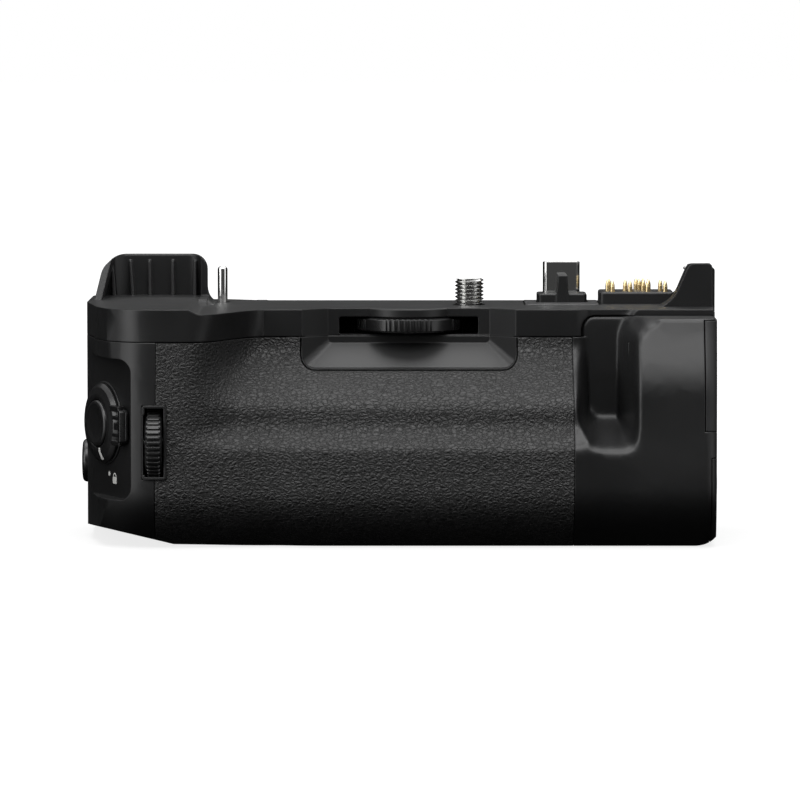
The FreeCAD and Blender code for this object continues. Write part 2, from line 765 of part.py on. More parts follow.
def chamber_room():
    """The battery chamber, open at the right end, with the end cap's rebate."""
    cap_in = size.right_end - size.cap_thick
    chamber = box_shape(
        (chamber_left(), -size.chamber_front, -size.chamber_foot),
        (cap_in + 1, size.chamber_rear, -size.chamber_top),
    )
    middle = (size.chamber_rear - size.chamber_front) / 2
    drop = (size.chamber_top + size.chamber_foot) / 2
    sweep = size.cam_reach + size.slide_gap
    catch = rod(sweep, (cap_in - size.cam_thick - 0.5, middle, -drop), (cap_in + 1, middle, -drop))
    catch = catch.common(box_shape((-FAR, -FAR, -drop), (FAR, FAR, 0)))
    return chamber.fuse([cap_form(float(size.seam)), catch])


def chamber_left():
    return float(size.right_end - size.cap_thick - size.cam_room) - 2 * float(size.pack_length) - 4.6


def cap_form(grow):
    """The end cap's block inside the housing's outline, grown by a seam."""
    left = float(size.right_end - size.cap_thick) - grow
    return box_shape(
        (left, -FAR / 2, -FAR),
        (FAR, float(size.chamber_rear) + 0.6 + grow, -float(size.cap_top) + grow),
    )


def door_form(grow):
    """The terminal cover's block: a plate along the end with a lip round the front corner."""
    top = -float(size.door_top) + grow
    foot = -float(size.door_foot) - grow
    rear = float(size.door_rear)
    front = -float(size.belly_front)
    side = prism(
        [
            Vector(-FAR, rear, top),
            Vector(-FAR, rear, foot),
            Vector(-FAR, front, foot + float(size.door_lift)),
            Vector(-FAR, -FAR / 2, foot + float(size.door_lift)),
            Vector(-FAR, -FAR / 2, top),
        ],
        [0] * 5,
        Vector(3 * FAR, 0, 0),
    )
    plate = box_shape((float(size.right_end - size.door_skin) - grow, -FAR / 2, -FAR), (FAR, rear, 0))
    lip = box_shape((float(size.door_left) - grow, -FAR / 2, -FAR), (FAR, -float(size.lan_front) - 0.9 + grow, 0))
    door = plate.fuse(lip).common(side)
    knuckle = rod(float(size.knuckle) + grow, (hinge_x(), rear, foot), (hinge_x(), rear, top))
    if not grow:
        return door.fuse(knuckle)
    swing = box_shape((hinge_x(), rear - 0.1, foot), (FAR, rear + float(size.knuckle) + grow, top))
    return door.fuse([knuckle, swing])


def hinge_x():
    return float(size.right_end - size.knuckle)


def lan_room(grow):
    return box_shape(
        (size.right_end - size.door_skin - size.lan_length - grow, -size.lan_front - grow,
         -size.lan_top - size.lan_height - grow),
        (size.right_end - size.door_skin, -size.lan_front + size.lan_width + grow, -size.lan_top + grow),
    )


def usb_room(grow):
    return box_shape(
        (size.right_end - size.door_skin - size.usb_length - grow, -size.usb_front - grow,
         -size.usb_top - size.usb_height - grow),
        (size.right_end - size.door_skin, -size.usb_front + size.usb_width + grow, -size.usb_top + grow),
    )


def dial_y():
    return size.dial_radius - size.grip_front - size.dial_proud


def rear_dial_y():
    return size.thumb_rear + size.rear_dial_proud - size.dial_radius


def dial_room(y, drop):
    """Slot and axle hole for a dial whose axis runs across."""
    half = size.dial_width / 2 + size.gap
    middle = -size.dial_place
    slot = rod(size.dial_radius + size.gap, (middle - half, y, -drop), (middle + half, y, -drop))
    axle = rod(
        size.axle_radius + size.running,
        (middle - half - 2.6, y, -drop),
        (middle + half + 2.6, y, -drop),
    )
    return slot.fuse(axle)


def frame_blocks():
    """Outside and inside of the frame round the front dial."""
    wall = float(size.frame_wall)
    rear = -float(size.grip_front - size.frame_deep)
    outer = box_shape(
        (-float(size.frame_left), -FAR / 2, -float(size.frame_foot)),
        (-float(size.frame_right), rear, -float(size.frame_top)),
    )
    inner = box_shape(
        (-float(size.frame_left) + wall, -FAR / 2, -float(size.frame_foot) + wall),
        (-float(size.frame_right) - wall, rear, -float(size.frame_top) - wall),
    )
    return outer, inner


def rear_buttons():
    """Rear buttons as (name, left of the screw, below the seat, radius, proud, back of the housing there)."""
    return [
        ("focus_button", size.focus_place, size.focus_drop, size.focus_radius, size.focus_proud, size.thumb_rear),
        ("menu_button", size.small_place, size.small_drop, size.small_radius, size.small_proud, size.rear_face),
        ("lock_button", size.small_place - size.small_step, size.small_drop, size.small_radius,
         size.small_proud, size.rear_face),
    ]


def lamp_places():
    """Status lamps over the two small buttons, as (left of the screw, below the seat)."""
    drop = size.small_drop - size.lamp_up
    return [(size.small_place, drop), (size.small_place - size.small_step, drop)]


BUTTON_TAIL = 3.0


def rear_rooms():
    rooms = []
    for name, left, drop, radius, proud, rear in rear_buttons():
        rooms.append(rod(radius + size.running + 0.1, (-left, rear - BUTTON_TAIL - size.button_travel, -drop),
                         (-left, rear + 9, -drop)))
    stick = (-size.stick_place, 0, -size.stick_drop)
    rooms.append(rod(size.stick_radius + 1.6, (stick[0], size.rear_face - 3.0, stick[2]),
                     (stick[0], size.rear_face + 9, stick[2])))
    pivot = size.rear_face - size.pivot_sink
    rooms.append(rod(size.pivot_room, (stick[0], pivot - 1.2, stick[2]), (stick[0], size.rear_face - 2, stick[2])))
    half = size.pivot_half + size.running
    rooms.append(rod(size.pivot_radius + size.running, (stick[0] - half, pivot, stick[2]),
                     (stick[0] + half, pivot, stick[2])))
    for left, drop in lamp_places():
        rooms.append(rod(size.lamp_radius, (-left, size.rear_face - size.lamp_depth, -drop),
                         (-left, size.rear_face + 1, -drop)))
    return rooms


def side_room():
    x = -float(size.left_end)
    return rod(
        size.side_button_radius + 0.1 + size.running,
        (x - 3, -size.side_button_front, -size.side_button_drop),
        (x + BUTTON_TAIL + 1.0 + float(size.button_travel), -size.side_button_front, -size.side_button_drop),
    )


def shutter_room():
    centre = facet_centre()
    way = facet_way()
    stem = rod(size.stem_radius + size.running, centre + way, centre - way * 6.0)
    well = rod(size.shutter_radius + 0.15, centre + way, centre - way * float(size.shutter_sink))
    return stem.fuse(well)


def leather_form():
    """The front leather's outline as a prism through the front."""
    left = -float(size.leather_left)
    right = float(size.leather_right) - 0.05
    seam = -float(size.seam_drop)
    cut_left = -float(size.recess_left + size.recess_flare) - 1.6
    cut_right = float(size.recess_right + size.recess_flare) + 1.6
    lip = -float(size.recess_lip) - 0.9
    points = [
        Vector(left, 0, seam),
        Vector(cut_left - 1.2, 0, seam),
        Vector(cut_left, 0, seam - 3.2),
        Vector(cut_left + 2.9, 0, lip),
        Vector(cut_right - 2.9, 0, lip),
        Vector(cut_right, 0, seam - 3.2),
        Vector(cut_right + 1.2, 0, seam),
        Vector(right, 0, seam),
        Vector(right, 0, -float(size.housing_height)),
        Vector(left - 0.5, 0, -float(size.housing_height)),
    ]
    radii = [0, 0.8, 2.0, 2.0, 2.0, 2.0, 0.8, 0, 0, 0]
    return prism(points, radii, Vector(0, -FAR, 0))


def outer_form():
    """The housing's whole outer form, up to the seat."""
    form = plan_outline(0.0, -float(size.housing_height), 0.0)
    form = form.common(end_outline()).cut(below_facet())
    return trim_front(form)


def lip_outline(grow):
    """The front cover's wall above the seam, right of the leather, seen from the front."""
    left = float(size.pocket_left) + 0.3 - grow
    top = -float(size.bulge_top) + grow
    rear = -float(size.band_front - size.lip_thick)
    points = [
        Vector(left, rear, -float(size.seam_drop) - 1),
        Vector(left, rear, top),
        Vector(FAR, rear, top),
        Vector(FAR, rear, -float(size.seam_drop) - 1),
    ]
    return prism(points, [0, float(size.lip_round), 0, 0], Vector(0, -FAR, 0))


def housing(form):
    """The form below the top cover, with the wall of the pocket and the bulge above the seam."""
    seam = -float(size.seam_drop)
    lower = form.common(box_shape((-FAR * 2, -FAR, -FAR), (FAR, FAR, seam)))
    lip = form.common(lip_outline(0.0))
    form = lower.fuse(lip).removeSplitter()
    top = -float(size.bulge_top)
    brow = [
        edge for edge in form.Edges
        if abs(edge.BoundBox.ZMin - top) < 0.01
        and abs(edge.BoundBox.ZMax - top) < 0.01
        and edge.BoundBox.YMax < -float(size.band_front - size.lip_thick) - 1
    ]
    return form.makeFillet(float(size.brow_round), brow)


def top_cover():
    """The camera seat: band, raised left end, tower and fin in one moulding."""
    seam = -float(size.seam_drop)
    rim = float(size.rim_rise)
    form = plan_outline(float(size.seat_inset), seam, rim)
    form = trim_front(form)
    form = form.cut(box_shape((-float(size.grip_end) + float(size.grip_fall), -FAR, seam - 1),
                              (FAR, -float(size.band_front), rim + 1)))
    step = prism(
        [
            Vector(-float(size.rim_end) - 3.0, -FAR, rim + 0.5),
            Vector(-float(size.rim_end), -FAR, 0),
            Vector(FAR, -FAR, 0),
            Vector(FAR, -FAR, rim + 0.5),
        ],
        [0, 2.0, 0, 0],
        Vector(0, 2 * FAR, 0),
    )
    form = form.cut(step)
    form = form.fuse([tower(), fin()])
    form = form.cut(lip_outline(0.0))
    form = form.cut(wheel_recess())
    form = form.cut(wheel_room())
    form = form.cut(screw_room())
    form = form.cut(rod(size.guide_flange, (-size.guide_place, size.guide_rear, 9),
                        (-size.guide_place, size.guide_rear, -size.guide_root)))
    form = form.cut(box_shape(
        (size.plug_place - size.bezel_left, size.bezel_front, -size.bezel_thick),
        (size.plug_place + size.bezel_right, size.plug_base_rear + 0.2, 5)))
    form = form.cut(box_shape(
        (size.plug_place - size.plug_foot / 2, size.plug_base_front, seam - 1),
        (size.plug_place + size.plug_foot / 2, size.plug_base_rear, 5)))
    form = form.cut(box_shape((size.block_left, size.block_front, seam - 1), (size.block_right, size.block_rear, 5)))
    form = form.cut(door_form(float(size.seam)))
    form = form.cut(lan_room(0.0))
    return form.removeSplitter()


def tower():
    """The curved wall at the left end, with upright ribs inside, open to the front."""
    top = float(size.tower_rise)
    base = -2.0
    front = -float(size.tower_front)
    corner = float(size.tower_corner)

    def plan(height, grow):
        left = -float(size.tower_left) + grow
        right = -float(size.tower_right) - grow
        rear = float(size.tower_rear) - grow
        return rounded(
            [
                Vector(left, front - 12, height),
                Vector(left, rear, height),
                Vector(right, rear, height),
                Vector(right, front - 12, height),
            ],
            [0, corner - grow, corner - grow, 0],
        )

    draft = float(size.tower_draft)
    wall = float(size.tower_wall)
    outer = Part.makeLoft([plan(base, 0), plan(top, draft)], True, True)
    inner = Part.makeLoft([plan(base, wall + 1.0), plan(top + 1, draft + wall)], True, True)
    form = outer.cut(inner)
    left = -float(size.tower_left) + 1.5
    right = -float(size.tower_right) - 1.0
    spacing = (right - left) / float(size.rib_count)
    ribs = []
    reach = float(size.rib_reach)
    for index in range(int(float(size.rib_count))):
        middle = left + spacing * (index + 0.5)
        foot = float(size.rib_width) / 2
        rib = Part.makeLoft(
            [
                Part.makePolygon([Vector(middle - w, 0, z), Vector(middle + w, 0, z), Vector(middle + w, 30, z),
                                  Vector(middle - w, 30, z), Vector(middle - w, 0, z)])
                for w, z in ((foot, base), (foot * 0.6, top - 1.2))
            ],
            True,
            True,
        )
        ribs.append(rib)
    web = outer.cut(Part.makeLoft([plan(base, wall + 1.0 + reach), plan(top + 1, draft + wall + 0.3)], True, True))
    ribs = ribs[0].fuse(ribs[1:]).common(web)
    form = form.fuse(ribs)
    outline = prism(
        [
            Vector(-float(size.tower_left) - 1, -FAR, base),
            Vector(-float(size.tower_left) + 1.0, -FAR, top),
            Vector(-float(size.tower_right) - 1.0, -FAR, top),
            Vector(-float(size.tower_right) + 1, -FAR, base),
        ],
        [0, 3.2, 3.2, 0],
        Vector(0, 2 * FAR, 0),
    )
    form = form.common(outline)
    slope = prism(
        [
            Vector(-FAR, front - 14, -3),
            Vector(-FAR, front, 1.0),
            Vector(-FAR, front + 4.0, top + 2),
            Vector(-FAR, front - 14, top + 2),
        ],
        [0, 0, 0, 0],
        Vector(FAR, 0, 0),
    )
    return form.cut(slope)


def fin():
    """The upright fin at the right end, flared at its foot."""
    right = float(size.right_end - size.seat_inset) + 0.4
    top = float(size.fin_rise)
    left = right - float(size.fin_width)
    foot = right - float(size.fin_foot)
    outline = [
        Vector(right, 0, -2),
        Vector(right, 0, top),
        Vector(left, 0, top),
        Vector(left - 3.4, 0, top * 0.28),
        Vector(foot, 0, 0),
        Vector(foot, 0, -2),
    ]
    form = prism(outline, [0, 0.8, 1.0, 4.0, 0, 0], Vector(0, float(size.fin_rear), 0))
    front = prism(outline, [0, 0.8, 1.0, 4.0, 0, 0], Vector(0, -float(size.band_front) + 0.3, 0))
    front = front.common(plan_outline(float(size.seat_inset), -5, top + 1))
    slope = prism(
        [
            Vector(0, -float(size.band_front) - 1, 0),
            Vector(0, -float(size.fin_front) - 4, 0.8),
            Vector(0, -float(size.fin_front), top + 1),
            Vector(0, -float(size.band_front) - 1, top + 1),
        ],
        [0, 14.0, 0, 0],
        Vector(FAR, 0, 0),
    )
    return form.fuse(front.cut(slope))


def eyelet_part():
    """A wire loop for a tether, which stands out of the fin's inner side."""
    sides = 8
    angles = [2 * math.pi * (index + 0.5) / sides for index in range(sides)]
    wire = [
        (size.eyelet_radius + size.eyelet_wire * math.cos(angle), size.eyelet_wire * math.sin(angle))
        for angle in angles
    ]
    ring = turned(wire, x=size.right_end - size.eyelet_in, y=size.eyelet_rear, z=size.eyelet_rise)
    node(cut(ring, solid(fin())), "tether_eyelet")


def gear_outline(teeth, x, y, z, turn):
    """An involute spur gear's outline."""
    module = float(size.gear_module)
    pitch = module * teeth / 2
    base = pitch * math.cos(math.radians(20))
    tip = pitch + module
    foot = pitch - 1.25 * module

    def spread(radius):
        angle = math.acos(min(base / max(radius, base), 1.0))
        return math.tan(angle) - angle

    half = math.pi / (2 * teeth) - float(size.backlash) / (2 * pitch) + spread(pitch)
    radii = [foot, max(foot, base) + 0.02, pitch, tip]
    points = []
    for tooth in range(teeth):
        middle = turn + 2 * math.pi * tooth / teeth
        for side, order in ((-1, radii), (1, radii[::-1])):
            for radius in order:
                angle = middle + side * (half - spread(radius))
                points.append(Vector(x + radius * math.cos(angle), y + radius * math.sin(angle), z))
    return Part.Face(Part.makePolygon(points + points[:1]))


def ribbed_outline(radius, rib, count, bare):
    """A round outline with ribs, except where bare says that an angle has none."""
    points = []
    for index in range(count):
        middle = 2 * math.pi * index / count
        step = 2 * math.pi / count
        high = radius if not bare(middle) else radius - rib * 0.4
        low = radius - rib if not bare(middle) else radius - rib * 0.4
        for shift, reach in ((-0.5, low), (-0.26, high), (0.14, high), (0.38, low)):
            angle = middle + shift * step
            points.append(Vector(reach * math.cos(angle), reach * math.sin(angle), 0))
    return Part.Face(Part.makePolygon(points + points[:1]))


def wheel_parts():
    """The tightening wheel with four bare pads, its axle and gear, and the screw with its pinion."""
    x = -float(size.wheel_across)
    y = -float(size.wheel_front)
    pads = 4

    def bare(angle):
        share = (angle + math.pi / 2) * pads / (2 * math.pi) + 0.5
        return abs(share - round(share)) < 0.19

    outline = ribbed_outline(float(size.wheel_radius), float(size.wheel_rib), 56, bare)
    wheel = outline.extrude(Vector(0, 0, float(size.wheel_thick)))
    wheel.translate(Vector(x, y, -float(size.wheel_drop + size.wheel_thick)))
    bore = rod(size.wheel_axle, (x, y, 0), (x, y, -FAR))
    node(solid(wheel.cut(bore)), "tightening_wheel")

    way = math.atan2(-y, -x)
    gear = gear_outline(int(float(size.wheel_teeth)), x, y, -float(size.gear_top), way)
    gear = gear.extrude(Vector(0, 0, -float(size.gear_thick))).cut(bore)
    node(solid(gear), "wheel_gear")
    axle_top = -size.wheel_drop + 0.8
    axle = cylinder(size.wheel_axle, axle_top + size.bearing_drop, x, y, -size.bearing_drop)
    put(axle, -size.wheel_across, -size.wheel_front, -size.bearing_drop)
    node(axle, "wheel_axle")

    teeth = int(float(size.screw_teeth))
    pinion = gear_outline(teeth, 0, 0, -float(size.gear_top), way + math.pi + math.pi / teeth)
    pinion = pinion.extrude(Vector(0, 0, -float(size.gear_thick)))
    node(solid(pinion.cut(rod(size.screw_neck, (0, 0, 0), (0, 0, -FAR)))), "screw_pinion")
    node(turned([
        (0, -size.bearing_drop),
        (size.screw_neck, -size.bearing_drop),
        (size.screw_neck, -0.8),
        (size.screw_radius, 0),
        (size.screw_radius, size.screw_rise - 0.5),
        (size.screw_radius - 0.5, size.screw_rise),
        (0, size.screw_rise),
    ]), "attachment_screw")
    node(cut(cylinder(size.thrust_radius, size.thrust_thick, 0, 0, -size.seam_drop - size.thrust_thick),
             cylinder(size.screw_neck + size.running, 9, 0, 0, -size.seam_drop - 5)), "thrust_washer")


def covers(form):
    """Front and rear covers, split at the parting plane, with their rooms cut."""
    seam = float(size.seam)
    rooms = [
        wheel_recess(), wheel_room(), gear_room(), screw_room(), chamber_room(), facet_cut(),
        door_form(seam), lan_room(0.0), usb_room(0.0), dial_room(dial_y(), size.dial_drop),
        dial_room(rear_dial_y(), size.rear_dial_drop), side_room(), shutter_room(),
        box_shape((-60, -16, -float(size.board_top + size.board_thick)), (31, 12, -float(size.board_top))),
        box_shape((size.block_left - 0.4, size.block_front, -float(size.board_top)),
                  (size.block_right, size.block_rear - 1.0, 0)),
        box_shape((size.plug_place - size.plug_foot / 2, size.plug_base_front, -float(size.seam_drop) - 3),
                  (size.plug_place + size.plug_foot / 2, size.plug_base_rear, 0)),
        box_shape((-size.plate_left, -size.plate_front, -FAR),
                  (size.plate_right, size.plate_rear, -size.housing_height + size.plate_thick)),
        rod(size.bush_radius, (0, 0, -FAR), (0, 0, -size.housing_height + size.plate_thick + size.bush_depth - 1.2)),
    ] + rear_rooms()
    for room in rooms:
        form = form.cut(room)
    split = float(size.split_rear)
    front = form.common(box_shape((-FAR * 2, -FAR, -FAR), (FAR, split, 5)))
    rear = form.common(box_shape((-FAR * 2, split, -FAR), (FAR, FAR, 5)))
    leather_room = leather_form().cut(middle_surface(float(size.skin)).extrude(Vector(0, FAR, 0)))
    leather = leather_form().common(housing_form).common(leather_room).cut(wheel_recess())
    frame_outer, frame_inner = frame_blocks()
    leather = leather.cut(frame_outer)
    front = front.cut(frame_outer)
    forward = Vector(0, -FAR, 0)
    frame = frame_outer.cut(frame_inner).cut(middle_surface(-float(size.frame_proud)).extrude(forward))
    node(solid(frame.cut(dial_room(dial_y(), size.dial_drop))), "dial_frame")
    front = front.cut(leather_room)
    rear_skin = rear_leather_room().common(housing_form)
    rear = rear.cut(rear_leather_room())
    node(solid(front.removeSplitter()), "front_cover")
    node(solid(rear.removeSplitter()), "rear_cover")
    node(solid(leather), "front_leather")
    node(solid(rear_skin), "rear_leather")


def rear_leather_room():
    """A skin on the back of the housing, right of the thumb rest."""
    rear = float(size.rear_face)
    skin = float(size.skin)
    foot = -float(size.housing_height) + 4.0
    points = [
        Vector(-float(size.small_place) - 4.0, rear - skin, -float(size.small_drop) - 6.0),
        Vector(float(size.rear_skin_right), rear - skin, -float(size.small_drop) - 6.0),
        Vector(float(size.rear_skin_right), rear - skin, foot),
        Vector(-float(size.small_place) - 4.0, rear - skin, foot),
    ]
    return prism(points, [3.0] * 4, Vector(0, 10, 0))


def seat_parts():
    """Guide pin, plug and contacts on the camera seat."""
    node(turned([
        (0, -size.guide_root),
        (size.guide_flange, -size.guide_root),
        (size.guide_flange, 0),
        (size.guide_radius, 0),
        (size.guide_radius, size.guide_rise - 0.9),
        (size.guide_radius * 0.75, size.guide_rise - 0.25),
        (0, size.guide_rise),
    ], x=-size.guide_place, y=size.guide_rear), "guide_pin")

    bezel = block(
        (size.plug_place - size.bezel_left, size.bezel_front, -size.bezel_thick),
        (size.plug_place + size.bezel_right, size.plug_base_rear + 0.2, 0.1),
    )
    hole = block(
        (size.plug_place - size.plug_foot / 2, size.plug_base_front, -5),
        (size.plug_place + size.plug_foot / 2, size.plug_base_rear, 5),
    )
    node(cut(bezel, hole), "plug_bezel")

    foot = block(
        (size.plug_place - size.plug_foot / 2, size.plug_base_front, -size.seam_drop - 2.4),
        (size.plug_place + size.plug_foot / 2, size.plug_base_rear, size.plug_base_rise),
    )
    post = padded([
        (size.plug_place - size.post_width / 2 - 0.5, size.plug_base_rise - 0.5),
        (size.plug_place + size.post_width / 2 + 0.5, size.plug_base_rise - 0.5),
        (size.plug_place + size.post_width / 2, size.plug_base_rise + 0.8),
        (size.plug_place + size.post_width / 2, size.post_rise),
        (size.plug_place - size.post_width / 2, size.post_rise),
        (size.plug_place - size.post_width / 2, size.plug_base_rise + 0.8),
    ], size.plug_rear - size.plug_thick / 2 - size.plug_base_front - 0.6, "XZ_Plane")
    put(post, 0, size.plug_rear - size.plug_thick / 2, 0)
    shell_hole = block(
        (size.plug_place - size.plug_width / 2, size.plug_rear - size.plug_thick / 2, -3),
        (size.plug_place + size.plug_width / 2, size.plug_rear + size.plug_thick / 2, 9),
    )
    node(cut(fuse(foot, post), shell_hole), "plug_base")
    outer = plug_tube(size.plug_width, size.plug_thick)
    inner = plug_tube(size.plug_width - size.plug_wall * 2, size.plug_thick - size.plug_wall * 2)
    node(cut(outer, inner), "plug_shell")

    body = block((size.block_left, size.block_front, -size.seam_drop), (size.block_right, size.block_rear, size.block_rise))
    holes = solid(contact_pins(size.contact_radius + size.running, grow=9.0))
    node(cut(body, holes), "contact_block")
    node(solid(contact_pins(size.contact_radius, grow=0.0)), "contact_pins")
    node(block(
        (size.block_left + 1.0, size.block_front + 0.6, -size.seam_drop - 1.2),
        (size.block_right - 1.0, size.block_rear - 2.0, -size.seam_drop),
    ), "contact_board")


def plug_tube(wide, thick):
    """The plug's oval tube, standing up."""
    middle = block(
        (size.plug_place - wide / 2 + thick / 2, size.plug_rear - thick / 2, -3),
        (size.plug_place + wide / 2 - thick / 2, size.plug_rear + thick / 2, size.plug_rise),
    )
    ends = [
        cylinder(thick / 2, size.plug_rise + 3, size.plug_place + side * (wide / 2 - thick / 2), size.plug_rear, -3)
        for side in (-1, 1)
    ]
    return fuse(middle, *ends)


CONTACT_ROWS = [
    (0.0, [2.9, 6.8, 10.7, 14.6]),
    (4.3, [2.0, 5.9, 9.9, 13.7]),
    (7.4, [2.4, 9.1, 11.2]),
    (9.6, [8.5, 10.1]),
]
FIRST_ROW = 2.0


def contact_pins(radius, grow):
    """All the spring contacts, in rows from the front, each (behind the front row, places across)."""
    radius = float(radius)
    tip = 0.0 if grow else 0.7
    foot = -float(size.contact_tail) - grow
    top = float(size.contact_rise) + grow
    sides = 12
    pins = []

    def ring(x, y, z, reach):
        angles = [2 * math.pi * index / sides for index in range(sides + 1)]
        return Part.makePolygon([Vector(x + reach * math.cos(a), y + reach * math.sin(a), z) for a in angles])

    for row, places in CONTACT_ROWS:
        for place in places:
            x = float(size.block_left) + place
            y = float(size.block_front) + FIRST_ROW + row
            body = Part.Face(ring(x, y, foot, radius)).extrude(Vector(0, 0, top - foot - tip))
            if tip:
                point = Part.makeLoft([ring(x, y, top - tip, radius), ring(x, y, top, radius * 0.3)], True, True)
                body = body.fuse(point)
            pins.append(body)
    return Part.makeCompound(pins)


def shutter_parts():
    """Ring, lock lever, button, stem and return spring, all on the facet's axis."""
    turn = facet_turn()
    place = dict(x=-size.facet_place, y=-size.facet_depth, z=-size.button_drop, turn=turn)
    top = size.ring_height + size.collar_height
    inner = size.shutter_radius + 0.15
    node(turned([
        (inner, 0),
        (size.ring_radius, 0),
        (size.ring_radius, size.ring_height),
        (inner, size.ring_height),
    ], **place), "shutter_ring")

    collar = turned([
        (inner, size.ring_height + 0.1),
        (size.collar_radius, size.ring_height + 0.1),
        (size.collar_radius, size.ring_height + 0.6),
        (size.collar_radius - 0.8, top - 0.5),
        (size.collar_top, top),
        (inner, top),
    ], **place)
    tab = lock_tab()
    bore = cylinder(inner, 9, turn=turn)
    put(bore, -size.facet_place, -size.facet_depth, -size.button_drop, turn)
    node(cut(fuse(collar, tab), bore), "lock_lever")

    button_foot = size.shutter_travel + 0.15 - size.shutter_sink
    node(turned([
        (0, -4.6),
        (size.stem_radius, -4.6),
        (size.stem_radius, button_foot),
        (size.shutter_radius, button_foot),
        (size.shutter_radius, top + size.shutter_proud - 0.5),
        (size.shutter_radius - 0.7, top + size.shutter_proud),
        (0, top + size.shutter_proud - 0.25),
    ], **place), "shutter_button")


def lock_tab():
    """The lock lever's finger tab, with grip ribs, on the side towards the lens side."""
    way = facet_way()
    side = Vector(0, 0, 1).cross(way)
    centre = facet_centre() + way * float(size.ring_height + 0.1)
    half = float(size.tab_width) / 2
    reach = float(size.tab_reach)
    start = float(size.shutter_radius) + 1.0
    up = Vector(0, 0, 1)
    points = [
        centre + side * start + up * half,
        centre + side * reach + up * (half - 1.0),
        centre + side * reach - up * (half - 1.0),
        centre + side * start - up * half,
    ]
    form = prism(points, [0, 1.0, 1.0, 0], way * float(size.collar_height))
    grooves = []
    for index in (-1, 1):
        middle = centre + side * start + up * (half * 0.36 * index) + way * float(size.collar_height)
        corners = [middle - up * 0.7 + way * 0.1, middle + up * 0.7 + way * 0.1, middle - way * 0.7]
        grooves.append(prism(corners, [0, 0, 0], side * (reach - start - 1.2)))
    return solid(form.cut(grooves[0].fuse(grooves[1:])))


def dial_parts(name, y, drop):
    """A ribbed command dial on its axle."""
    count = int(float(size.dial_teeth))
    outline = ribbed_outline(float(size.dial_radius), float(size.dial_rib), count, lambda angle: False)
    dial = outline.extrude(Vector(0, 0, float(size.dial_width)))
    dial = dial.cut(Part.makeCylinder(float(size.axle_radius + size.running), 20, Vector(0, 0, -5)))
    shape = dial.copy()
    middle = Vector(-float(size.dial_place + size.dial_width / 2), float(y), -float(drop))
    shape.Placement = Placement(middle, ALONG_X)
    node(solid(shape), f"{name}_dial")
    reach = size.dial_width / 2 + size.gap + 2.4
    node(cylinder(size.axle_radius, reach * 2, -size.dial_place - reach, y, -drop, ALONG_X), f"{name}_dial_axle")


def button_parts():
    for name, left, drop, radius, proud, rear in rear_buttons():
        node(turned([
            (0, 0),
            (radius, 0),
            (radius, BUTTON_TAIL + proud - 0.4),
            (radius - 0.4, BUTTON_TAIL + proud),
            (0, BUTTON_TAIL + proud + 0.2),
        ], ALONG_Y, -left, rear - BUTTON_TAIL, -drop), name)
    node(turned([
        (0, 0),
        (size.side_button_radius, 0),
        (size.side_button_radius, BUTTON_TAIL + size.side_button_proud - 0.6),
        (size.side_button_radius - 0.6, BUTTON_TAIL + size.side_button_proud),
        (0, BUTTON_TAIL + size.side_button_proud + 0.2),
    ], Rotation(Vector(0, 1, 0), -90), -size.left_end + BUTTON_TAIL, -size.side_button_front,
        -size.side_button_drop), "side_button")

    ring = size.stick_radius + 1.6
    place = dict(turn=ALONG_Y, x=-size.stick_place, z=-size.stick_drop)
    node(turned([
        (1.6, 0), (ring, 0), (ring, 3.4), (ring - 0.6, 3.9), (size.stick_radius + 0.5, 3.2), (1.6, 2.0),
    ], y=size.rear_face - 3.0, **place), "stick_ring")
    pivot = size.rear_face - size.pivot_sink
    stick = turned([
        (0, -0.9), (1.1, -0.9), (1.1, 4.7), (size.stick_radius - 0.6, 5.7),
        (size.stick_radius - 0.2, size.stick_proud + 4.7), (0, size.stick_proud + 4.3),
    ], y=pivot, **place)
    pin = (size.pivot_radius, size.pivot_half * 2, -size.stick_place - size.pivot_half, pivot, -size.stick_drop, ALONG_X)
    node(cut(stick, cylinder(*pin)), "focus_stick")
    node(cylinder(*pin), "stick_pivot")
    lamps = [
        cylinder(size.lamp_radius, size.lamp_depth + 0.2, -left, size.rear_face - size.lamp_depth, -drop, ALONG_Y)
        for left, drop in lamp_places()
    ]
    node(fuse(*lamps), "status_lamps")


